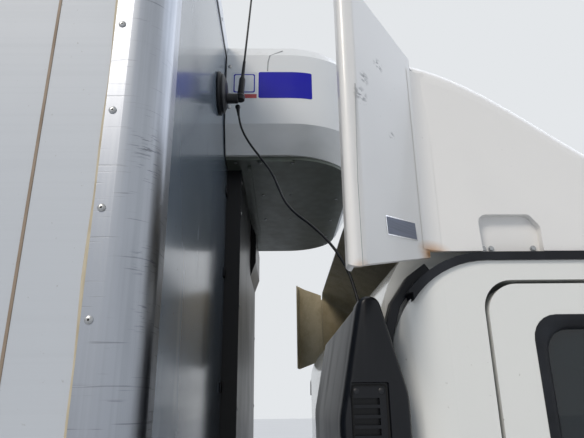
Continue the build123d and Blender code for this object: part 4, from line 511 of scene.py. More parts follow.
class Form:
    """Mesh of one piece, gathered from simple parts in the row's frame."""

    def __init__(self, name: str) -> None:
        """Starts an empty mesh.

        Args:
            name: Piece's name.
        """
        self.name = name
        self.mesh = bmesh.new()

    def add(self, points: Sequence[Point], faces: Sequence[Sequence[int]]) -> None:
        """Adds faces.

        Args:
            points: Corners.
            faces: Numbers of each face's corners.
        """
        made = [self.mesh.verts.new([c * MM for c in p]) for p in points]
        for face in faces:
            self.mesh.faces.new([made[i] for i in face])

    def slab(self, low: Point, high: Point) -> None:
        """Adds a box between two corners.

        Args:
            low: Lowest corner.
            high: Highest corner.
        """
        x, y, z = zip(low, high)
        points = [(x[i & 1], y[i >> 1 & 1], z[i >> 2]) for i in range(8)]
        self.add(points, [(0, 2, 3, 1), (4, 5, 7, 6), (0, 1, 5, 4), (2, 6, 7, 3), (0, 4, 6, 2), (1, 3, 7, 5)])

    def side_slab(self, side: int, x: Pair, y: Pair, z: Pair) -> None:
        """Adds a box on one side of the truck.

        Args:
            side: Sign of its Y.
            x: Its ends along the truck.
            y: Its nearest and furthest distance from the middle line.
            z: Its lowest and highest.
        """
        low, high = sorted((side * y[0], side * y[1]))
        self.slab((x[0], low, z[0]), (x[1], high, z[1]))

    def loop_skin(self, rings: Sequence[Sequence[Point]], closed: bool = False, caps: bool = True) -> None:
        """Skins rings of points, each as long as the next.

        Args:
            rings: Rings in order.
            closed: Whether the last ring joins the first.
            caps: Whether the ends are closed.
        """
        count = len(rings[0])
        points = [p for ring in rings for p in ring]
        faces = []
        last = len(rings) if closed else len(rings) - 1
        for r in range(last):
            a = r * count
            b = (r + 1) % len(rings) * count
            faces += [(a + i, a + (i + 1) % count, b + (i + 1) % count, b + i) for i in range(count)]
        if caps and not closed:
            faces.append(tuple(range(count - 1, -1, -1)))
            faces.append(tuple((len(rings) - 1) * count + i for i in range(count)))
        self.add(points, faces)

    def turned(self, start: Point, way: Point, profile: Sequence[Pair], sides: int = 20) -> None:
        """Adds a turned body.

        Args:
            start: Point on its axis.
            way: Its axis.
            profile: Stations along the axis and their radii.
            sides: Facets round it.
        """
        axis = Vector(way).normalized()
        across = axis.orthogonal().normalized()
        other = axis.cross(across)
        turns = [2 * math.pi * i / sides for i in range(sides)]
        rings = []
        for along, radius in profile:
            middle = Vector(start) + axis * along
            rings.append([middle + (across * math.cos(t) + other * math.sin(t)) * max(radius, 0.01)
                          for t in turns])
        self.loop_skin(rings)

    def rod(self, start: Point, end: Point, radius: float, sides: int = 12) -> None:
        """Adds a round bar.

        Args:
            start: One end of its middle line.
            end: The other end.
            radius: Its radius.
            sides: Facets round it.
        """
        way = Vector(end) - Vector(start)
        edge = min(radius * 0.15, way.length * 0.2)
        self.turned(start, way, [(0, radius - edge), (edge, radius), (way.length - edge, radius),
                                 (way.length, radius - edge)], sides)

    def swept(self, path: Sequence[Point], section: Sequence[Pair], up: Point,
              closed: bool = False) -> None:
        """Adds a section swept along a path.

        Args:
            path: Points that it follows.
            section: Outline, as steps to the path's side and along up.
            up: Direction that the section's second number runs along.
            closed: Whether the path closes.
        """
        points = [Vector(p) for p in path]
        rings = []
        count = len(points)
        rise = Vector(up).normalized()
        for i, point in enumerate(points):
            before = points[i - 1] if closed or i else point
            after = points[(i + 1) % count] if closed or i < count - 1 else point
            way = (after - before).normalized()
            side = way.cross(rise).normalized()
            first = (point - before).normalized() if (point - before).length else way
            spread = 1 / max(0.4, abs(first.dot(way)))
            rings.append([point + side * a * spread + rise * b for a, b in section])
        self.loop_skin(rings, closed)

    def prism(self, axis: int, outline: Sequence[Pair], low: float, high: float) -> None:
        """Adds a prism between two stations on an axis.

        Args:
            axis: 0, 1 or 2 for X, Y or Z.
            outline: Corners in the other two, in X, Y, Z order.
            low: First station.
            high: Last station.
        """
        self.loop_skin([[(*pair[:axis], station, *pair[axis:]) for pair in outline]
                        for station in (low, high)])

    def domed(self, at: Point, way: Point, radius: float, height: float, sides: int = 14) -> None:
        """Adds a round head with a domed top.

        Args:
            at: Middle of its seat.
            way: Direction that it stands out in.
            radius: Its radius.
            height: Its height.
            sides: Facets round it.
        """
        self.turned(Vector(at) - Vector(way).normalized() * SUNK, way, [
            (0, radius), (SUNK + height * 0.35, radius), (SUNK + height * 0.8, radius * 0.72),
            (SUNK + height, radius * 0.3), (SUNK + height, 0)], sides)

    def hexagon(self, at: Point, way: Point, across: float, height: float) -> None:
        """Adds a hexagon head on its washer.

        Args:
            at: Middle of its seat.
            way: Direction that it stands out in.
            across: Size across its flats.
            height: Its height.
        """
        radius = across / math.sqrt(3)
        self.turned(Vector(at) - Vector(way).normalized() * SUNK, way,
                    [(0, radius * 1.15), (2.2, radius * 1.15), (2.3, radius * 0.9)], 18)
        self.turned(at, way, [(0, radius), (height - 1, radius), (height, radius * 0.86), (height, 0)], 6)

    def place(self, finish: Finish, body: str, edge: float = 0.0, sharp: float = 35.0) -> bpy.types.Object:
        """Turns the gathered mesh into a piece that rides on a body.

        Args:
            finish: Its surface.
            body: Body that it moves with.
            edge: Width of its rounded edges.
            sharp: Angle in degrees above which an edge stays sharp.

        Returns:
            The piece.
        """
        bmesh.ops.remove_doubles(self.mesh, verts=self.mesh.verts, dist=1e-6)
        bmesh.ops.recalc_face_normals(self.mesh, faces=self.mesh.faces)
        data = bpy.data.meshes.new(self.name)
        self.mesh.to_mesh(data)
        self.mesh.free()
        for face in data.polygons:
            face.use_smooth = True
        data.set_sharp_from_angle(angle=math.radians(sharp))
        data.materials.append(finish.build())
        piece = added(self.name, data)
        if edge:
            bevel = piece.modifiers.new("rounded_edges", "BEVEL")
            bevel.width = edge * MM
            bevel.segments = 2
            bevel.limit_method = "ANGLE"
            bevel.angle_limit = math.radians(40)
            bevel.harden_normals = False
        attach(piece, body)
        LOG.info("%s rides on %s", self.name, body)
        return piece


def strip(half: float, under: float, over: float) -> list[Pair]:
    """Section of a flat strip for a sweep, by its half width and its depth and height about the path."""
    return [(-half, -under), (half, -under), (half, over), (-half, over)]


def bend(start: Point, corner: Point, end: Point, steps: int = 8) -> list[Vector]:
    """Curve from one point to another that turns evenly round a corner.

    Args:
        start: First point.
        corner: Where the two straight ways would meet.
        end: Last point.
        steps: Facets of the curve.

    Returns:
        Points in order.
    """
    a, b, c = Vector(start), Vector(corner), Vector(end)
    shares = [k / steps for k in range(steps + 1)]
    return [a * (1 - t) ** 2 + b * (2 * t * (1 - t)) + c * t * t for t in shares]


def added(name: str, data: bpy.types.ID) -> bpy.types.Object:
    """Adds an object with its data to the scene.

    Args:
        name: Its name.
        data: Its mesh, curve, camera or lamp.

    Returns:
        The object.
    """
    piece = bpy.data.objects.new(name, data)
    bpy.context.scene.collection.objects.link(piece)
    return piece


def dress(finish: Finish, *names: str) -> None:
    """Gives CAD nodes a finish.

    Args:
        finish: Their surface.
        names: Their names.
    """
    for name in names:
        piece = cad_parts[name]
        piece.data.materials.clear()
        piece.data.materials.append(finish.build())


def rounded(low_a: float, low_b: float, high_a: float, high_b: float, radius: float,
            steps: int = 4) -> list[Pair]:
    """Outline of a rectangle with round corners.

    Args:
        low_a: Lowest first number.
        low_b: Lowest second number.
        high_a: Highest first number.
        high_b: Highest second number.
        radius: Radius of its corners.
        steps: Facets of a corner.

    Returns:
        Corners in order.
    """
    points = []
    for a, b, turn in ((high_a - radius, high_b - radius, 0), (low_a + radius, high_b - radius, 90),
                       (low_a + radius, low_b + radius, 180), (high_a - radius, low_b + radius, 270)):
        for i in range(steps + 1):
            t = math.radians(turn + 90 * i / steps)
            points.append((a + radius * math.cos(t), b + radius * math.sin(t)))
    return points


def softened(corners: Sequence[Triple]) -> list[Pair]:
    """Outline from corners that are each rounded by a radius.

    Args:
        corners: First number, second number and radius of each.

    Returns:
        Points in order.
    """
    points = []
    steps = 6
    count = len(corners)
    for i, (a, b, radius) in enumerate(corners):
        here = Vector((a, b))
        back = (Vector(corners[i - 1][:2]) - here).normalized()
        ahead = (Vector(corners[(i + 1) % count][:2]) - here).normalized()
        half = back.angle(ahead) / 2
        reach = radius / math.tan(half)
        middle = here + (back + ahead).normalized() * radius / math.sin(half)
        first = here + back * reach - middle
        last = here + ahead * reach - middle
        turn = first.angle_signed(last)
        for k in range(steps + 1):
            t = -turn * k / steps
            points.append((middle.x + first.x * math.cos(t) - first.y * math.sin(t),
                           middle.y + first.x * math.sin(t) + first.y * math.cos(t)))
    return points


# Sub-assemblies


@dataclass
class InsulatedBox:
    """Insulated body: panels, corner posts, edge rails, doors and their fasteners."""

    half: float = 1150
    front: float = 1460
    portal: float = -3455
    top: float = 2925
    floor: float = 1000
    post: float = 67
    rivet_head: Pair = (4.8, 2.2)
    mandrel_shade: Pair = (1.6, 0.5)
    rivet_pitch: int = 126
    rivet_back: float = 58
    rivet_start: float = 2430
    rivets_below: int = 11
    rivets_above: int = 3
    nose_pitch: int = 210
    rail_row: float = 52
    skirt_row: float = 18
    sill_row: float = 60
    seam_back: float = 143
    seam_pitch: float = 1165
    wall: float = 72
    hinge_rows: Rows = (1180, 1640, 2150, 2640)
    hinge_bolts: Rows = (920, 975, 1030)
    gear_rows: Rows = (1120, 1420, 1900, 2400, 2730)
    gear_bolts: Rows = (144, 196)
    marker_stations: Rows = (-2900, -1900, -260, 900)

    def dress_nodes(self) -> None:
        """Gives the box's CAD nodes their finishes."""
        dress(PANEL_SKIN, "box_side_walls", "box_roof", "rear_door_left", "rear_door_right")
        dress(BULKHEAD_SKIN, "box_front_wall")
        dress(POST_ALUMINIUM, "front_corner_posts")
        dress(RAIL_ALUMINIUM, "box_edge_rails", "guard_rails")
        dress(STAINLESS, "rear_portal", "rear_door_gear_left", "rear_door_gear_right")
        dress(LOAD_FLOOR, "box_floor")
        dress(GUARD_BLACK, "wall_guard")
        dress(MOULDED_BLACK, "rear_mudguards")
        dress(RED_LENS, "tail_lamps")

    def rivets(self) -> None:
        """Blind rivets of the posts, the rails and the skirts, each with a near-black dome of painted shade
        in its hollow middle.
        """
        heads = Form("box_rivets")
        holes = Form("box_rivet_mandrel_shades")
        rail = self.top - self.rail_row
        first, last, across = -3340, 1380, 1050
        places: list[tuple[Point, Point]] = []
        for side in Side:
            y = side.value * self.half
            out = (0, side.value, 0)
            places += [((self.front - self.rivet_back, y, self.rivet_start + self.rivet_pitch * k), out)
                       for k in range(-self.rivets_below, self.rivets_above + 1)]
            for z in (rail, self.floor - self.skirt_row):
                places += [((x, y, z), out) for x in range(first, last, 2 * self.rivet_pitch)]
        for z in (rail, self.floor - self.sill_row):
            places += [((self.front, y, z), FORWARD) for y in range(-across, across + 1, self.nose_pitch)]
        for at, out in places:
            heads.domed(at, out, *self.rivet_head)
            # Painted shade: a small near-black dome stands for the dark hollow in the middle of each head.
            holes.domed(Vector(at) + Vector(out) * 1.9, out, *self.mandrel_shade, 8)
        heads.place(ZINC_STEEL, "truck")
        holes.place(DARK_GAP, "truck")

    def sealant(self) -> None:
        """Sealant lines: panel joints, both edges of the posts, and the foot of the roof rails."""
        brown = Form("panel_joint_sealant")
        cream = Form("post_edge_sealant")
        dark = Form("bulkhead_edge_seal")
        seat = self.half - 3
        low, high = self.floor + 10, self.top - self.post
        edge, back = self.front - self.post, self.front - 3.5
        inner = self.half - self.wall
        wander = [math.sin(i * 1.7) * 0.9 + math.sin(i * 0.61) * 1.1 for i in range(40)]
        for side in Side:
            s = side.value
            foot, crown = s * (seat - 1), s * (seat + 0.8)
            for k in range(5):
                x = self.front - self.seam_back - k * self.seam_pitch
                brown.prism(2, [(x - 2.6, foot), (x + 2.6, foot), (x + 1.6, crown), (x - 1.6, crown)],
                            low, high)
            rings = []
            for i, w in enumerate(wander):
                z = low + (high - low) * i / (len(wander) - 1)
                rings.append([(edge + 0.4, foot, z), (edge + 0.4, s * (seat + 2.9), z),
                              (edge - 2.2 - w, s * (seat + 1.8), z), (edge - 4.4 - w, foot, z)])
            cream.loop_skin(rings)
            dark.prism(2, [(back, s * inner), (self.front - 0.2, s * inner),
                           (self.front - 1.2, s * (inner - 5)), (back, s * (inner - 6))], self.floor, high)
            cream.prism(0, [(foot, high + 0.5), (s * (seat + 2), high + 0.5), (foot, high - 3.5)],
                        self.portal + 80, edge)
        dark.prism(1, [(back, high + 0.5), (self.front - 0.4, high + 0.5), (self.front - 1.4, high - 5),
                       (back, high - 6)], -inner, inner)
        brown.place(SEALANT_BROWN, "truck")
        cream.place(SEALANT_CREAM, "truck")
        dark.place(SEAL_RUBBER, "truck")

    def door_seals(self) -> None:
        """Rubber seals and hinge bolts of the rear doors' leaves, and the lamps in their header."""
        near, far, low, high = 4.5, 1087.5, 1008, 2842
        leaf = ((near, low), (far, low), (far, high), (near, high))
        lamps = Form("rear_header_lamps")
        beds = Form("rear_header_lamp_beds")
        for side in Side:
            s = side.value
            body = f"rear_door_{side.word}"
            seal = Form(f"rear_door_seal_{side.word}")
            seal.swept([(self.portal - 1.2, s * y, z) for y, z in leaf],
                       [(-4, -3), (4, -3), (3, 1.5), (-3, 1.5)], REARWARD, True)
            seal.place(SEAL_RUBBER, body)
            bolts = Form(f"hinge_bolts_{side.word}")
            for z in self.hinge_rows:
                for y in self.hinge_bolts:
                    bolts.domed((self.portal - 18.3, s * y, z), REARWARD, 6, 2.4)
            for z in self.gear_rows:
                for y in self.gear_bolts:
                    bolts.hexagon((self.portal - 31.2, s * y, z), REARWARD, 9, 3.5)
            bolts.place(ZINC_STEEL, body)
            lamps.side_slab(s, (self.portal - 13, self.portal - 3), (890, 1000), (2872, 2900))
            beds.side_slab(s, (self.portal - 4, self.portal + 1), (884, 1006), (2866, 2906))
        lamps.place(RED_LENS, "truck", 2.5)
        beds.place(MOULDED_BLACK, "truck", 1.5)

    def markers(self) -> None:
        """Side marker lamps on the skirts, corner markers on the nose and reflectors at the rear."""
        lens = Form("side_marker_lenses")
        bed = Form("side_marker_beds")
        clear = Form("front_marker_lenses")
        red = Form("rear_reflectors")
        for s in SIDES:
            for x in self.marker_stations:
                bed.side_slab(s, (x - 40, x + 40), (self.half - 1, self.half + 4), (912, 944))
                lens.side_slab(s, (x - 33, x + 33), (self.half + 3, self.half + 12), (917, 939))
            clear.side_slab(s, (self.front - 1, self.front + 11), (985, 1060), (2880, 2902))
            red.side_slab(s, (self.portal - 11, self.portal - 4), (830, 980), (468, 502))
        bed.place(MOULDED_BLACK, "truck", 1.5)
        lens.place(AMBER_LENS, "truck", 2.5)
        clear.place(CLEAR_LENS, "truck", 2.5)
        red.place(RED_LENS, "truck", 2)

    def plates(self) -> None:
        """Bare number plates with their frames, at the rear on the bar and at the nose on the bumper."""
        half, low, high = 262, -4, 114
        for name, x, way, z in (("rear", self.portal - 5, -1, 442), ("front", 3500, 1, 520)):
            for word, finish, trim, near, far, edge in (
                    ("plate_frame", MOULDED_BLACK, 0, 0, 3, 0.8),
                    ("number_plate", WHITE_FILM, 6, 2.5, 4.5, 0.5)):
                sheet = Form(f"{name}_{word}")
                outline = rounded(trim - half, z + low + trim, half - trim, z + high - trim, 8)
                sheet.prism(0, outline, *sorted((x + way * near, x + way * far)))
                sheet.place(finish, "truck", edge)

    def build(self) -> None:
        """Dresses its CAD nodes and makes its own pieces."""
        for step in (self.dress_nodes, self.rivets, self.sealant, self.door_seals, self.markers, self.plates):
            step()


@dataclass
class CoolingUnit:
    """Cooling unit on the box's nose: its seams, films and screws, and those of the guard under it."""

    half: float = 500
    front: float = 1460
    depth: float = 400
    base: float = 2580
    round: float = 230
    cover_rows: Rows = (2825, 2700)
    tray_stations: Rows = (-430, -200, 60, 300, 430)
    guard_rows: Rows = (1700, 1950, 2200, 2450, 2540)
    guard_edges: Rows = (-368, 402)
    ear_rows: Rows = (1720, 2000, 2280, 2505)
    ear_reach: float = 26

    def dress_nodes(self) -> None:
        """Gives the unit's CAD nodes their finishes."""
        dress(UNIT_LAMINATE, "unit_housing")
        dress(GALVANISED, "unit_base")
        dress(MOULDED_BLACK, "unit_grille", "unit_fan_left", "unit_fan_right")
        dress(CAST_IRON, "unit_motors")

    def face(self, x: float) -> float:
        """Half width of the cover at a station.

        Args:
            x: Station.

        Returns:
            Half width, less where the nose's corner turns in.
        """
        over = max(0.0, x - (self.front + self.depth - self.round))
        return self.half - self.round + math.sqrt(self.round ** 2 - over ** 2)

    def seams(self) -> None:
        """End cap's seam, a dusty joint up each side and in over the lid's slope."""
        seam = Form("unit_end_seam")
        for s in SIDES:
            y = s * (self.half + 0.1)
            side = [(1570.5, y, 2811), (1572, y, 2840), (1577, y, 2861)]
            lid = [(1577, y, 2860), (1611.5, s * (self.half - 13.6), 2886)]
            seam.swept(side, strip(1.5, 0.6, 0.5), (0, s, 0))
            seam.swept(lid, strip(1.5, 0.6, 0.8), (0, s, 0.6))
        seam.place(SEAM_GREY, "truck")

    def films(self) -> None:
        """Bare films on the cover's right side: a blue one and a pale one with a red foot strip."""
        steps = 24
        for name, finish, corners, lift, trim in (
                ("unit_film_blue", BLUE_FILM, (1546.5, 2727.5, 1690, 2808), 0.5, 3),
                ("unit_film_white", WHITE_FILM, (1474, 2724, 1543.5, 2807), 0.5, 3),
                ("unit_film_red", RED_FILM, (1482, 2727, 1542, 2739), 0.9, 0),
                ("unit_film_window", BLUE_FILM, (1480, 2744, 1537, 2801), 0.8, 3),
                ("unit_film_face", WHITE_FILM, (1483, 2747, 1534, 2798), 1.1, 3)):
            x0, z0, x1, z1 = corners
            rings = []
            for i in range(steps + 1):
                x = x0 + (x1 - x0) * (1 - math.cos(math.pi * i / steps)) / 2
                cut = max(0.0, trim - min(x - x0, x1 - x))
                low, high = z0 + cut, z1 - cut
                out, skin = -self.face(x) - lift, -self.face(x) + 0.1
                rings.append([(x, out, low), (x, out, high), (x, skin, high), (x, skin, low)])
            film = Form(name)
            film.loop_skin(rings)
            film.place(finish, "truck")

    def fasteners(self) -> None:
        """Screws of the cover, the tray and the access cover."""
        bolts = Form("unit_screws")
        tray = self.base - 9
        for s in SIDES:
            for z in self.cover_rows:
                bolts.domed((self.front + 9.5, s * self.half, z), (0, s, 0), 5.2, 2.5)
        for y in (-440, 20, -210):
            for x in (1551, 1636):
                bolts.domed((x, y, self.base - 14), DOWNWARD, 4, 2)
        for y in self.tray_stations:
            bolts.domed((1484, y, tray), DOWNWARD, 4.5, 2)
            bolts.domed((1780, y * 0.8, tray), DOWNWARD, 4.5, 2)
        bolts.place(ZINC_STEEL, "truck")

    def guard_fasteners(self) -> None:
        """Screws and brackets of the black cover under the unit."""
        screws = Form("wall_guard_screws")
        ears = Form("wall_guard_ears")
        for z in self.guard_rows:
            for y in self.guard_edges:
                screws.domed((1497, y, z), FORWARD, 5, 2)
        for z in self.ear_rows:
            for y, out in zip(self.guard_edges, SIDES):
                low, high = sorted((y + out * 15, y + out * (15 + self.ear_reach)))
                ears.slab((self.front - 2.5, low, z - 12), (self.front + 1, high, z + 12))
        screws.place(ZINC_STEEL, "truck")
        ears.place(MOULDED_BLACK, "truck", 1.2)

    def build(self) -> None:
        """Dresses its CAD nodes and makes its own pieces."""
        for step in (self.dress_nodes, self.seams, self.films, self.fasteners, self.guard_fasteners):
            step()


@dataclass
class Antenna:
    """Aerial: rubber-edged magnet foot on the bulkhead, raked whip, and the lead that hangs from it."""

    x: float = 1457.3
    y: float = -620
    z: float = 2664
    lead_radius: float = 2.5
    route: tuple[Point, ...] = (
        (1503, -606, 2632), (1508, -617, 2590), (1520, -632, 2550), (1540, -650, 2508), (1565, -672, 2465),
        (1587, -692, 2424), (1600, -716, 2382), (1611, -741, 2343), (1630, -768, 2308), (1656, -800, 2276),
        (1681, -838, 2237), (1698, -874, 2200), (1709, -905, 2165), (1716, -926, 2130), (1721, -943, 2092))
    # Along its middle line, in metres
    lead_length: float = 0.686

    def foot(self) -> None:
        """Foot with its rubber rim, stepped housing and knuckle."""
        foot = Form("antenna_foot")
        foot.turned((self.x, self.y, self.z), FORWARD, [
            (0, 49), (1, 51.5), (4, 52.5), (7, 51), (8, 47), (10, 46), (11.5, 47.5), (14, 46), (16, 40),
            (17.5, 38), (19, 34), (21, 26), (22, 18), (22, 0)], 48)
        foot.turned((self.x + 18, self.y, self.z - 13), FORWARD, [
            (0, 15), (4, 12.5), (27, 12), (30, 9), (31, 0)], 24)
        foot.place(MOULDED_BLACK, "truck")

    def mast(self) -> None:
        """Whip: knuckle and sleeved collar at its foot, then thin sleeved wire to a ball tip."""
        low = Vector((1508.5, self.y, self.z - 20))
        high = Vector((1560, self.y, self.z + 640))
        length = (high - low).length
        mast = Form("antenna_whip")
        mast.turned(low, high - low, [
            (0, 7), (3, 11), (14, 11), (18, 8), (60, 7.6), (64, 6), (68, 4.4), (110, 3.6), (114, 2.6),
            (length - 9, 2.0), (length - 8, 3.2), (length - 4, 4), (length - 1, 2.8), (length, 0)], 18)
        whip = mast.place(WHIP_BLACK, "truck")
        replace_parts(whip, "antenna")

    def lead(self) -> None:
        """Lead on one smooth curve from the foot to the intake's head, with its strain relief."""
        data = bpy.data.curves.new("antenna_lead", "CURVE")
        data.dimensions = "3D"
        data.bevel_depth = self.lead_radius * MM
        data.bevel_resolution = 3
        data.resolution_u = 12
        data.use_fill_caps = True
        spline = data.splines.new("NURBS")
        spline.points.add(len(self.route) - 1)
        for point, place in zip(spline.points, self.route):
            point.co = (*[c * MM for c in place], 1.0)
        spline.order_u = 3
        spline.use_endpoint_u = True
        data.materials.append(CABLE_JACKET.build())
        piece = added("antenna_lead", data)
        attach(piece, "truck")
        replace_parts(piece, "antenna_cable")
        [c * MM for c in self.route[0]]
        relief = Form("lead_strain_relief")
        start = Vector(self.route[0])
        way = Vector(self.route[1]) - start
        sleeve = [(0, 6), (4, 6.2), (9, 4.6), (22, 3.4), (30, 3.0)]
        relief.turned(start - way.normalized() * 8, way, sleeve, 14)
        relief.place(CABLE_JACKET, "truck")

    def build(self) -> None:
        """Makes its pieces."""
        for step in (self.lead, self.foot, self.mast):
            step()


@dataclass
class RoofFairing:
    """Roof fairing with its wings: blank plates, pocket bolts, parting lines and rounded folds."""

    half: float = 1000
    fold: float = 1815
    wing_rear: float = 1685
    wing_out: float = 1110
    pocket_bolts: Rows = (1896, 1907.5, 1968.6)
    bolt_row: float = 2172.5

    def dress_nodes(self) -> None:
        """Gives the fairing's CAD nodes their finish."""
        dress(FAIRING_LAMINATE, "fairing_shell", "fairing_wings")

    def wing_face(self, x: float) -> float:
        """Half width of the wing's outer face at a station.

        Args:
            x: Station.

        Returns:
            Half width.
        """
        front, rear = (self.fold, self.half), (self.wing_rear + 22, self.wing_out - 6)
        return front[1] + (front[0] - x) / (front[0] - rear[0]) * (rear[1] - front[1])

    def plates(self) -> None:
        """Blank brushed plate low on each wing."""
        for side in Side:
            s = side.value
            for word, finish, grow, lift in (
                    ("plate_rim", BRIGHT_STEEL, 1.6, 0.7), ("plate", BADGE_PLATE, 0, 1.2)):
                corners = ((1742 - grow, 2193.5 + grow), (1790.6 + grow, 2199.3 + grow),
                           (1791.9 + grow, 2176.1 - grow), (1743.5 - grow, 2170.5 - grow))
                plate = Form(f"wing_{word}_{side.word}")
                plate.loop_skin([[(x, s * (self.wing_face(x) + depth), z) for x, z in corners]
                                 for depth in (-0.6, lift)])
                plate.place(finish, "cab")

    def bolts(self) -> None:
        """Bolts of the foot pockets."""
        bolts = Form("fairing_bolts")
        for s in SIDES:
            for x in self.pocket_bolts:
                bolts.hexagon((x, s * (self.half - 14), self.bolt_row), (0, s, 0), 6.5, 3.5)
        bolts.place(ZINC_STEEL, "cab")

    def fold_bead(self) -> None:
        """Laminate's rounded inner corner where each wing leaves the fairing's side."""
        bead = Form("wing_fold_bead")
        leg = 17.0
        for s in SIDES:
            rings = []
            for z, lean in ((2167, 0.0), (2300, 0.3), (2400, 1.0), (2440, 1.6), (2460, 2.2)):
                heel = self.half - lean - 2
                curve = bend((self.fold - leg * 0.72, self.half + leg * 0.7), (self.fold, self.half),
                             (self.fold + leg, self.half - lean))
                rings.append([(p.x, s * (p.y + 0.35), z) for p in curve]
                             + [(self.fold + 4, s * heel, z), (self.fold - 6, s * (heel + 4), z)])
            bead.loop_skin(rings)
        bead.place(FAIRING_LAMINATE, "cab", 0, SMOOTH)

    def parting_line(self) -> None:
        """Mould's parting line, a faint thread down each wing's rim."""
        part = Form("wing_parting_line")
        for s in SIDES:
            path = [(x, s * (self.wing_face(x) + 0.1 if x > 1704 else self.wing_out - 0.4), z)
                    for x, z in ((1705.3, 2371), (1701, 2228), (1701.4, 2119))]
            part.swept(path, strip(0.45, 0.5, 0.3), (0, s, 0))
        part.place(SEAM_GREY, "cab")

    def build(self) -> None:
        """Dresses its CAD nodes and makes its own pieces."""
        for step in (self.dress_nodes, self.plates, self.bolts, self.parting_line, self.fold_bead):
            step()


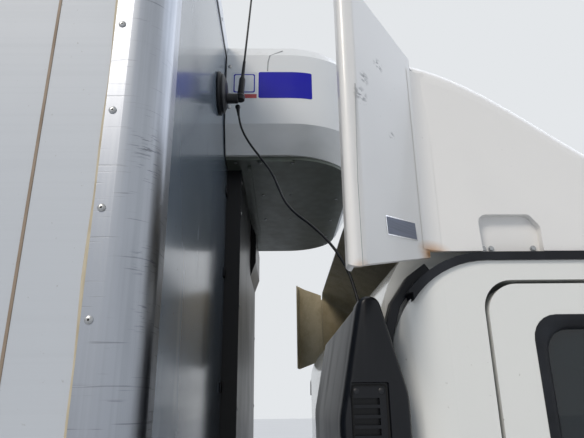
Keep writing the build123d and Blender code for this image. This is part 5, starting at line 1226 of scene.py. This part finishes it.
@dataclass
class Cab:
    """Cab: window rubbers, wipers, lamps, handles, mirrors, steps, seats, and the intake behind it."""

    half: float = 1000
    rear: float = 1745
    front: float = 3470
    door_rear: float = 1882
    door_front: float = 3060
    belt: float = 1395
    lean: float = 0.34
    rake: float = 0.446
    corner: float = 210
    handle: float = 1307
    headlamps: Pair = (690, 800)
    headlamp_seat: Pair = (3424, 918)
    bumper_lamp: Pair = (640, 540)
    repeater: Pair = (3180, 1330)
    mirror: float = 1165
    wipers_at: Rows = (-560, 40)
    hinge_rows: Rows = (1120, 1345)
    tread_pitch: int = 22

    def dress_nodes(self) -> None:
        """Gives the cab's CAD nodes their finishes."""
        dress(CAB_ENAMEL, "cab_shell", "cab_door_left", "cab_door_right", "front_panel", "front_bumper")
        dress(TINTED_GLASS, "cab_glazing", "door_glass_left", "door_glass_right")
        dress(FLOOR_MAT, "cab_floor")
        dress(DASH_VINYL, "dashboard", "steering_wheel")
        dress(MOULDED_BLACK, "cab_steps", "mirrors")
        dress(INTAKE_BLACK, "air_intake")
        dress(CLEAR_LENS, "headlamps")
        dress(SEAL_RUBBER, "roof_seal")

    def window(self, gap: float) -> list[Pair]:
        """Outline of the door's window.

        Args:
            gap: How far it is pulled in.

        Returns:
            Points in order, X and Z.
        """
        rear, top, low = 1945 + gap, 2075 - gap, self.belt + 50 + gap
        front = self.door_front - 95 - gap
        return softened([(rear, low, 40), (front, low, 40), (front - 4, low + 60, 40),
                         (front - 4 - self.lean * (top - low - 60), top, 34), (rear, top, 34)])

    def window_rubbers(self) -> None:
        """Rubber round each door's glass, the windscreen and the back window."""
        out = self.half - 1.2
        for side in Side:
            s = side.value
            body = f"cab_door_{side.word}"
            rubber = Form(f"door_window_rubber_{side.word}")
            rubber.loop_skin([[(x, s * (out + depth), z) for x, z in self.window(gap)] for gap, depth in (
                (-1.5, 0.2), (-0.5, 2.2), (6, 2.6), (13, 0.6), (17, -4), (18, -13), (-1.5, -6))], closed=True)
            rubber.place(SEAL_RUBBER, body, 0, SOFT)
            channel = Form(f"door_glass_channel_{side.word}")
            channel.side_slab(s, (2740, 2752), (984, 996), (self.belt + 60, 2030))
            channel.place(SEAL_RUBBER, body, 1)
        back = Form("back_window_rubber")
        back.loop_skin([[(self.rear - depth, y, z) for y, z in rounded(
            -560 + gap, 1480 + gap, 560 - gap, 1950 - gap, 60 - gap * 0.5, 6)]
            for gap, depth in ((-3, 1), (0, 3), (10, 2), (16, -8), (-3, -8))], closed=True)
        back.place(SEAL_RUBBER, "cab", 0, SOFT)
        screen = Form("windscreen_rubber")
        rings = []
        for gap, depth in ((-2, -1), (0, 3), (12, 3), (20, -8), (-2, -8)):
            wide, narrow, low, top = 905 - gap, 800 - gap, self.belt + 62 + gap, 2130 - gap
            outline = softened([(-wide, low, 60), (wide, low, 60), (narrow, top, 70), (-narrow, top, 70)])
            rings.append([(self.screen_x(y, z) + depth, y, z) for y, z in outline])
        screen.loop_skin(rings, closed=True)
        screen.place(SEAL_RUBBER, "cab", 0, SOFT)

    def screen_x(self, y: float, z: float) -> float:
        """Station of the windscreen's outer face.

        Args:
            y: Across the truck.
            z: Height.

        Returns:
            Its X.
        """
        x = self.front - 45 - self.rake * (z - self.belt)
        over = abs(y) - (self.half - self.corner)
        if over > 0:
            x = min(x, self.front - self.corner + math.sqrt(max(0.0, self.corner ** 2 - over ** 2)))
        return x

    def wipers(self) -> None:
        """Three-jointed wipers parked along the windscreen's foot."""
        arms = Form("wiper_arms")
        blades = Form("wiper_blades")
        reach = 520
        way = Vector((0, 1, 0.07)).normalized()
        for pivot in self.wipers_at:
            foot = Vector((self.screen_x(pivot, 1445) + 14, pivot, 1440))
            tip = Vector((self.screen_x(pivot + reach, 1500) + 20, pivot + reach * 0.86, 1500))
            arms.rod(foot - Vector((14, 0, 4)), foot + Vector((8, 0, 2)), 11, 16)
            arms.rod(foot, tip, 4.5, 10)
            mid = tip - Vector((8, 0, 4))
            for k in SIDES:
                arms.rod(mid + way * 40 * k, mid + way * 160 * k - Vector((6, 0, 0)), 3, 8)
            a, b = mid - way * 270, mid + way * 240
            a.x, b.x = self.screen_x(a.y, a.z) + 5, self.screen_x(b.y, b.z) + 5
            blades.rod(a, b, 4, 8)
        arms.place(MOULDED_BLACK, "cab")
        blades.place(SEAL_RUBBER, "cab")

    def lamps(self) -> None:
        """Headlamps' reflectors and bulbs, direction lamps, bumper lamps and side repeaters."""
        bowls = Form("headlamp_reflectors")
        rims = Form("bumper_lamp_rims")
        fog = Form("bumper_lamp_lenses")
        turn = Form("direction_lamps")
        bowl = [(0, 12), (1, 30), (8, 44), (20, 52), (22, 52), (20, 50), (8, 40), (3, 12), (14, 10), (16, 0)]
        rim = [(0, 48), (4, 48), (5, 45), (5, 40), (2, 38), (0, 38)]
        corners = ((610, 1048), (760, 1056), (760, 1084), (610, 1080))
        for s in SIDES:
            for y in self.headlamps:
                bowls.turned((self.headlamp_seat[0], s * y, self.headlamp_seat[1]), FORWARD, bowl, 24)
            y, z = s * self.bumper_lamp[0], self.bumper_lamp[1]
            rims.turned((3495, y, z), FORWARD, rim, 28)
            fog.turned((3494, y, z), FORWARD, [(0, 40), (3, 39), (5, 30), (6, 0)], 28)
            turn.loop_skin([[(self.front + d, s * y, z) for y, z in corners] for d in (-3, 3)])
        bowls.place(REFLECTOR, "cab")
        rims.place(MOULDED_BLACK, "truck")
        fog.place(CLEAR_LENS, "truck")
        turn.place(AMBER_LENS, "cab", 1.5)
        for side in Side:
            s = side.value
            lens = Form(f"side_repeater_{side.word}")
            lens.turned((self.repeater[0], s * (self.half - 1), self.repeater[1]), (0, s, 0),
                        [(0, 22), (6, 20), (10, 12), (11, 0)])
            lens.place(AMBER_LENS, "cab")

    def handles(self) -> None:
        """Door handles, locks, hinges and the grab rails."""
        tube = [(8 * math.cos(t), 8 * math.sin(t)) for t in (math.pi * k / 5 for k in range(10))]
        grip = [(-4, -9), (4, -9), (5, 0), (4, 9), (-4, 9)]
        pivot, rail_x = self.door_front - 1, self.door_rear - 46
        for side in Side:
            s = side.value
            y = s * self.half
            body = f"cab_door_{side.word}"
            lever = Form(f"door_handle_{side.word}")
            lever.swept([(x, y + s * out, self.handle) for x, out in (
                (1960, 6), (1975, 13), (2100, 13), (2118, 6))], grip, UPWARD)
            lever.place(MOULDED_BLACK, body, 1)
            lock = Form(f"door_lock_{side.word}")
            lock.turned((2145, y - s, self.handle), (0, s, 0), [(0, 10), (2.5, 10), (3.5, 8), (3.5, 0)])
            lock.place(BRIGHT_STEEL, body)
            hinge = Form(f"door_hinges_{side.word}")
            for z in self.hinge_rows:
                hinge.turned((pivot, y + s * 3, z - 26), UPWARD, [(0, 8), (1, 9), (51, 9), (52, 8)], 14)
                hinge.side_slab(s, (pivot + 3, pivot + 47), (self.half - 2, self.half + 5), (z - 22, z + 22))
            hinge.place(CAB_ENAMEL, "cab", 1.5)
            rail = Form(f"grab_rail_{side.word}")
            rail.swept([(rail_x, y + s * out, z) for out, z in (
                (-2, 1240), (38, 1262), (42, 1300), (42, 1640), (38, 1680), (-2, 1702))], tube, FORWARD)
            rail.place(MOULDED_BLACK, "cab")

    def mirror_glasses(self) -> None:
        """Silvered glasses in the mirror heads, facing back."""
        for side in Side:
            middle = side.value * self.mirror
            glass = Form(f"mirror_glass_{side.word}")
            glass.loop_skin([[(x, middle + y, z) for y, z in rounded(
                -58 - grow, 1540 - grow, 58 + grow, 1830 + grow, 18)]
                for x, grow in ((3128.6, 0), (3127.2, -1))])
            glass.place(MIRROR_GLASS, "cab")

    def steps(self) -> None:
        """Tread bars of the entry steps."""
        treads = Form("step_treads")
        inmost = 925
        for s in SIDES:
            for z, near in ((526, 824), (726, 884)):
                for y in range(near, inmost - 10, self.tread_pitch):
                    treads.side_slab(s, (2950, 3215), (y, y + 10), (z - 1, z + 4))
        treads.place(RAIL_ALUMINIUM, "cab", 1)

    def intake_shell(self) -> None:
        """Moulded outer half of the intake's head: rounded rim and crowned face round the louvre panel."""
        corners = ((1691, 1242, 20), (1765, 1242, 6), (1765, 1975, 90), (1733, 2098, 14), (1711, 2100, 14),
                   (1681, 1945, 90))
        spine, panel = Vector((1723, 1671)), Vector((1715.5, 1814))
        half_width, half_height, stations = 42, 430, 160
        outline: list[Vector] = []
        for i, (x, z, radius) in enumerate(corners):
            here = Vector((x, z))
            before = (Vector(corners[i - 1][:2]) - here).normalized()
            after = (Vector(corners[(i + 1) % len(corners)][:2]) - here).normalized()
            reach = radius / math.tan(before.angle(after) / 2)
            outline += bend(here + before * reach, here, here + after * reach)
        edges = list(zip(outline, outline[1:] + outline[:1]))
        step = sum((b - a).length for a, b in edges) / stations
        rim = []
        for a, b in edges:
            parts = max(1, round((b - a).length / step))
            rim += [a.lerp(b, k / parts) for k in range(parts)]
        outward = []
        for i in range(len(rim)):
            way = (rim[(i + 1) % len(rim)] - rim[i - 1]).normalized()
            outward.append(Vector((way.y, -way.x)))
        rings = [[(p.x + o.x * grow, y, p.y + o.y * grow) for p, o in zip(rim, outward)] for grow, y in (
            (-2, -968), (2.5, -968), (3, -992), (2.6, -1004), (1.7, -1010), (0.4, -1014), (-1.4, -1016.8),
            (-3.6, -1018.2))]
        for wide, y, tall in ((24.5, -1018.8, 176), (23.5, -1013.6, 175)):
            ring = []
            for p in rim:
                across, up = (p.x - spine.x) / half_width, (p.y - spine.y) / half_height
                most = max(abs(across), abs(up), 0.001)
                ring.append((panel.x + across / most * wide, y, panel.y + up / most * tall))
            rings.append(ring)
        shell = Form("intake_outer_shell")
        shell.loop_skin(rings, caps=False)
        shell.place(INTAKE_BLACK, "truck", 0, 40)

    def intake_trim(self) -> None:
        """Screws of the air intake's head, and a near-black line of painted shade round its louvre panel."""
        screws = Form("intake_screws")
        edge = Form("intake_panel_edge")
        for z in (1979, 1650):
            for x in (1731, 1699):
                screws.domed((x, -1014, z), (0, -1, 0), 4.2, 1.6)
        # Painted shade: near-black line round the louvre panel's edge.
        edge.swept([(x, -1014.2, z) for x, z in rounded(1693.5, 1641, 1737.5, 1986.5, 5)], strip(1, 0.9, 0.9),
                   (0, -1, 0), True)
        screws.place(MOULDED_BLACK, "truck")
        edge.place(DARK_GAP, "truck")

    def flange(self) -> None:
        """Rubber apron that carries the gutter rubber on down the cab's rear corners."""
        form = Form("rear_corner_flange")
        for s in SIDES:
            path = [(x, s * 968, z) for x, z in (
                (1750, 1990), (1751, 2050), (1765, 2095), (1790, 2130), (1815, 2148))]
            form.swept(path, strip(7, 12, 12), (0, s, 0))
        form.place(SEAL_RUBBER, "cab", 1.5)

    def grille_trim(self) -> None:
        """Near-black slabs of painted shade behind the nose's slots, with a bare oval where a badge would
        sit.
        """
        dark = Form("grille_backs")
        slots, low, pitch, widest, taper = 5, 1050, 48, 552, 14
        # Painted shade: near-black slabs behind each slot, and one wide slab lower down.
        for i in range(slots):
            z, half = low + i * pitch, widest - i * taper
            dark.slab((3440, -half, z + 1), (3444, half, z + 29))
        dark.slab((3446, -495, 834), (3449, 495, 956))
        dark.place(DARK_GAP, "cab")
        oval = Form("bare_nose_badge")
        oval.turned((self.front - 1, 0, 1348), FORWARD, [(0, 34), (2.5, 33), (4, 28), (4.5, 0)], 36)
        oval.place(BRIGHT_STEEL, "cab")

    def seats(self) -> None:
        """Three seats. The driver's cushion stands in for the CAD node that holds them all."""
        driver = Seat("driver_seat", 650, 480, True, 1041)
        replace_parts(driver.build(), "seats")
        for seat in (Seat("middle_seat", 0, 380, False, 1151), Seat("passenger_seat", -650, 480, True, 1041)):
            seat.build()

    def build(self) -> None:
        """Dresses its CAD nodes and makes its own pieces."""
        for step in (self.dress_nodes, self.window_rubbers, self.wipers, self.lamps, self.handles,
                     self.mirror_glasses, self.steps, self.intake_shell, self.intake_trim, self.flange,
                     self.grille_trim, self.seats):
            step()


@dataclass
class Seat:
    """Seat: sprung cushion, back and head rest in woven cloth."""

    word: str
    y: float
    width: float
    rest: bool
    low: float

    def pad(self, part: str, middle: Point, size: Point, tilt: float) -> bpy.types.Object:
        """Makes one pad: a crowned closed form with a seam round it and sewn channels.

        Args:
            part: What it is of the seat.
            middle: Its middle.
            size: Its length, width and thickness.
            tilt: Turn about Y in degrees.

        Returns:
            The pad.
        """
        turn = Matrix.Rotation(math.radians(tilt), 3, "Y")
        facets, seam = 26, 0.62
        rings = []
        for i in range(facets):
            t = math.pi * (i + 0.5) / facets
            x = -math.copysign(abs(math.cos(t)) ** 0.55, math.cos(t))
            wide, thick = math.sin(t) ** 0.22, math.sin(t) ** 0.35
            ring = []
            for k in range(facets * 2):
                c, s = math.cos(math.pi * k / facets), math.sin(math.pi * k / facets)
                y = math.copysign(abs(c) ** 0.5, c) * wide
                z = math.copysign(abs(s) ** 0.72, s) * thick
                if s > 0:
                    sewn = s > 0.3 and abs(abs(y) - seam) < 0.04
                    z *= 1 + 0.03 * math.cos(x * math.pi * 5) * s - 0.06 * sewn
                ring.append(Vector(middle) + turn @ Vector([a * b / 2 for a, b in zip((x, y, z), size)]))
            rings.append(ring)
        form = Form(f"{self.word}_{part}")
        form.loop_skin(rings)
        piece = form.place(SEAT_CLOTH, "cab", 0, SMOOTH)
        smooth = piece.modifiers.new("soft_form", "SUBSURF")
        smooth.levels = smooth.render_levels = 1
        return piece

    def build(self) -> bpy.types.Object:
        """Makes the seat on its plinth.

        Returns:
            Its cushion.
        """
        base = Form(f"{self.word}_plinth")
        half = self.width / 2 - 60
        outline = softened([
            (1992, self.low, 12), (2418, self.low, 12), (2436, 1222, 12), (1978, 1222, 12)])
        base.prism(1, outline, self.y - half, self.y + half)
        base.place(DASH_VINYL, "cab", 3)
        cushion = self.pad("cushion", (2226, self.y, 1276), (532, self.width - 6, 116), 3.0)
        self.pad("back", (2002, self.y, 1596), (560, self.width - 10, 108), -82.0)
        if self.rest:
            self.pad("head_rest", (1966, self.y, 1970), (150, 250, 78), -80.0)
            posts = Form(f"{self.word}_head_rest_posts")
            for k in (-60, 60):
                posts.rod((1966, self.y + k, 1850), (1962, self.y + k, 1930), 6)
            posts.place(BRIGHT_STEEL, "cab")
        return cushion


@dataclass
class Wheels:
    """Tyres with their tread and sidewall, wheel nuts, caps and valves."""

    radius: float = 402.5
    width: float = 215
    bead: float = 205
    front_x: float = 2390
    rear_x: float = -1345
    front_track: float = 1650
    rear_track: float = 1495
    twin: float = 240
    lugs: int = 60
    bolts: int = 6
    cut: float = 7.0
    groove: float = 9.0

    def dress_nodes(self) -> None:
        """Gives rims, axles and steering their finishes."""
        dress(RIM_ENAMEL, "front_rim_left", "front_rim_right", "rear_rims_left", "rear_rims_right")
        dress(CAST_IRON, "front_axle", "rear_axle", "knuckle_left", "knuckle_right", "track_rod",
              "engine_block")

    def tyre(self, form: Form, x: float, y: float, turn: float) -> None:
        """Adds one tyre: carcass with three tread grooves, shoulder blocks and sidewall rings.

        Args:
            form: Mesh that it joins.
            x: Wheel centre's station.
            y: Tyre's middle plane.
            turn: Turn of its tread, in degrees.
        """
        half, r, deep = self.width / 2, self.radius, self.radius - self.groove
        # From bead to middle: share of the half width, radius, and whether a block's edge cuts it
        outline = [
            (0.70, self.bead + 2, False), (0.80, self.bead + 22, False), (0.95, self.bead + 60, False),
            (0.985, self.bead + 96, False), (0.97, r - 74, False), (0.965, r - 70, False),
            (0.95, r - 62, False), (0.90, r - 30, False), (0.82, r - 9, True), (0.76, r - 3, True),
            (0.54, r - 0.6, True), (0.50, deep, False), (0.44, deep, False), (0.41, r - 0.3, True),
            (0.07, r, True), (0.04, deep, False)]
        outline = [(-share, radius, lug) for share, radius, lug in outline] + outline[::-1]
        steps = self.lugs * 3
        rings = []
        for k in range(steps):
            t = 2 * math.pi * (k / steps) + math.radians(turn)
            ring = []
            for share, radius, lug in outline:
                reach = radius - (self.cut if lug and k % 3 == 0 else 0)
                a = t + (0.006 * share if lug else 0)
                ring.append((x + reach * math.cos(a), y + share * half, r + reach * math.sin(a)))
            rings.append(ring)
        form.loop_skin(rings, closed=True)

    def tyres(self) -> None:
        """Makes the six tyres in their four wheels."""
        for side in Side:
            s = side.value
            front = Form(f"front_tyre_tread_{side.word}")
            self.tyre(front, self.front_x, s * self.front_track / 2, 3)
            piece = front.place(TYRE_RUBBER, f"wheel_front_{side.word}", 0, 28)
            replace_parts(piece, f"front_tyre_{side.word}")
            rear = Form(f"rear_tyre_treads_{side.word}")
            for k, way in enumerate(SIDES):
                self.tyre(rear, self.rear_x, s * self.rear_track / 2 + way * self.twin / 2, 2 * k)
            piece = rear.place(TYRE_RUBBER, f"wheel_rear_{side.word}", 0, 28)
            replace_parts(piece, f"rear_tyres_{side.word}")

    def nuts(self) -> None:
        """Wheel nuts, hub caps and valves."""
        cap_profile = [(0, 58), (3, 58), (5, 50), (9, 48), (16, 40), (20, 26), (21, 0)]
        turns = [2 * math.pi * i / self.bolts for i in range(self.bolts)]
        half_turn = math.pi / self.bolts
        for side in Side:
            s = side.value
            out = (0, s, 0)
            for name, x, y, ring, seat, cap, stem in (
                    ("front", self.front_x, self.front_track / 2, 96, 57, 87, 30),
                    ("rear", self.rear_x, self.rear_track / 2, 112, 43, 121, 60)):
                body = f"wheel_{name}_{side.word}"
                nuts = Form(f"{name}_wheel_nuts_{side.word}")
                hub = Form(f"{name}_hub_cap_{side.word}")
                valve = Form(f"{name}_valve_{side.word}")
                hub.turned((x, s * (y + cap), self.radius), out, cap_profile, 32)
                for t in turns:
                    a = t + half_turn
                    at = Vector((x + ring * math.cos(a), s * (y + seat), self.radius + ring * math.sin(a)))
                    nuts.hexagon(at, out, 30, 16)
                    nuts.rod(at + Vector(out) * 15, at + Vector(out) * 24, 9)
                    hub.domed((x + 52 * math.cos(t), s * (y + cap + 3), self.radius + 52 * math.sin(t)), out,
                              3.2, 2.5, 10)
                foot = Vector((x + 158, s * (y + stem), self.radius + 70))
                neck = foot + Vector((-14, s * 26, -6))
                valve.rod(foot, neck, 4)
                valve.rod(neck, foot + Vector((-17, s * 33, -7.5)), 5)
                nuts.place(ZINC_STEEL, body)
                hub.place(RIM_ENAMEL, body)
                valve.place(SEAL_RUBBER, body)

    def build(self) -> None:
        """Dresses its CAD nodes and makes its own pieces."""
        for step in (self.dress_nodes, self.tyres, self.nuts):
            step()


@dataclass
class Underbody:
    """Frame, tank, battery box and exhaust, with the rails' bolts and the mud flaps."""

    rail: float = 400
    bolt_stations: Rows = (-3290, -2450, -600, 500, 1350, 3090)
    bolt_rows: Rows = (650, 720)
    rivet_row: float = 752
    rivet_pitch: int = 300

    def dress_nodes(self) -> None:
        """Gives the frame's CAD nodes their finishes."""
        dress(CHASSIS_BLACK, "chassis_frame", "battery_box")
        dress(EXHAUST_STEEL, "exhaust")
        dress(RAIL_ALUMINIUM, "fuel_tank")

    def rail_bolts(self) -> None:
        """Bolt groups on the rails' webs at each cross member and spring hanger."""
        bolts = Form("rail_bolts")
        for s in SIDES:
            out = (0, s, 0)
            for x in self.bolt_stations:
                for dx in (-20, 20):
                    for z in self.bolt_rows:
                        bolts.hexagon((x + dx, s * self.rail, z), out, 17, 10)
            for x in range(-3100, 3000, self.rivet_pitch):
                bolts.domed((x, s * self.rail, self.rivet_row), out, 7, 4)
        bolts.place(CHASSIS_BLACK, "truck")

    def mud_flaps(self) -> None:
        """Rubber flaps behind the rear wheels with their clamp strips."""
        flaps = Form("mud_flaps")
        strips = Form("mud_flap_strips")
        near, far, thick = 520, 985, 7
        path = ((856, -1862), (700, -1864), (500, -1868), (300, -1880), (250, -1886))
        for s in SIDES:
            low, high = sorted((s * near, s * far))
            flaps.loop_skin([[(x, low, z), (x + thick, low, z), (x + thick, high, z), (x, high, z)]
                             for z, x in path])
            strips.side_slab(s, (-1870, -1862), (near - 4, far + 4), (806, 836))
        flaps.place(SEAL_RUBBER, "truck", 1)
        strips.place(ZINC_STEEL, "truck", 1)

    def build(self) -> None:
        """Dresses its CAD nodes and makes its own pieces."""
        for step in (self.dress_nodes, self.rail_bolts, self.mud_flaps):
            step()


@dataclass
class Studio:
    """Pale floor, soft lamps and the camera."""

    # In metres, and its directions as unit vectors
    eye: Triple = (1.605, -1.71, 1.97)
    right: Triple = (0.9996, -0.0180, -0.0118)
    up: Triple = (0.0053, -0.3264, 0.9452)
    back: Triple = (-0.0209, -0.9450, -0.3261)
    lens: float = 32.3

    def camera(self) -> None:
        """Sets the camera where the photograph was taken from."""
        data = bpy.data.cameras.new("camera")
        data.lens = self.lens
        data.sensor_width = 36
        data.clip_start = 0.02
        data.clip_end = 200
        piece = added("camera", data)
        turn = Matrix((self.right, self.up, self.back)).transposed().to_4x4()
        piece.matrix_world = Matrix.Translation(self.eye) @ turn
        bpy.context.scene.camera = piece

    def floor(self) -> None:
        """Lays the floor."""
        form = bmesh.new()
        bmesh.ops.create_grid(form, x_segments=1, y_segments=1, size=60)
        data = bpy.data.meshes.new("studio_floor")
        form.to_mesh(data)
        form.free()
        data.materials.append(STUDIO_FLOOR.build())
        added("studio_floor", data)

    def lamp(self, name: str, way: Point, strength: float, spread: float, colour: str) -> None:
        """Adds one soft distant lamp.

        Args:
            name: Its name.
            way: Direction from the truck to the lamp.
            strength: Its strength.
            spread: Its angular size in degrees.
            colour: Its colour.
        """
        data = bpy.data.lights.new(name, "SUN")
        data.energy = strength
        data.angle = math.radians(spread)
        data.color = linear(colour)[:3]
        piece = added(name, data)
        piece.rotation_mode = "QUATERNION"
        piece.rotation_quaternion = Vector(way).to_track_quat("Z", "Y")

    def world(self) -> None:
        """Sets a pale backdrop with an even dimmer light from all round."""
        world = bpy.data.worlds.new("studio")
        world.use_nodes = True
        tree = world.node_tree
        tree.nodes.clear()
        out = node(tree, "ShaderNodeOutputWorld")
        place = node(tree, "ShaderNodeTexCoord")
        parts = node(tree, "ShaderNodeSeparateXYZ", {}, {0: place.outputs["Generated"]})
        rise = node(tree, "ShaderNodeMapRange", {
            "From Min": -0.1, "From Max": 0.9, "To Min": 0.0, "To Max": 1.0}, {"Value": parts.outputs[2]})
        tint = node(tree, "ShaderNodeMix", {
            "data_type": "RGBA", MIX_A: linear("#D5DADF"), MIX_B: linear("#AFC0D6")}, {0: rise.outputs[0]})
        light = node(tree, "ShaderNodeBackground", {"Strength": 0.62}, {0: tint.outputs[2]})
        pale = node(tree, "ShaderNodeBackground", {"Color": linear("#E4E7EA"), "Strength": 1.0})
        path = node(tree, "ShaderNodeLightPath")
        seen = path.outputs["Is Camera Ray"]
        for kind in ("Is Glossy Ray", "Is Transmission Ray"):
            most = node(tree, "ShaderNodeMath", {"operation": "MAXIMUM"}, {0: seen, 1: path.outputs[kind]})
            seen = most.outputs[0]
        mix = node(tree, "ShaderNodeMixShader", {}, {0: seen, 1: light.outputs[0], 2: pale.outputs[0]})
        tree.links.new(mix.outputs[0], out.inputs[0])
        bpy.context.scene.world = world

    def build(self) -> None:
        """Sets camera, floor, lamps and backdrop."""
        self.camera()
        self.floor()
        self.world()
        self.lamp("key_lamp", (-0.45, -0.62, 0.75), 1.9, 22, "#FFF6EA")
        self.lamp("fill_lamp", (0.7, 0.5, 0.55), 0.8, 60, "#EAF1FF")
        bpy.context.scene.view_settings.view_transform = "Standard"


def main() -> None:
    """Builds the scene, one sub-assembly after the other."""
    logging.basicConfig(level=logging.INFO, format="%(name)s: %(message)s")
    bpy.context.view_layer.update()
    Studio().build()
    for part in (Antenna(), InsulatedBox(), CoolingUnit(), RoofFairing(), Cab(), Wheels(), Underbody()):
        part.build()
        LOG.info("made %s", type(part).__name__)


if __name__ == "__main__":
    main()
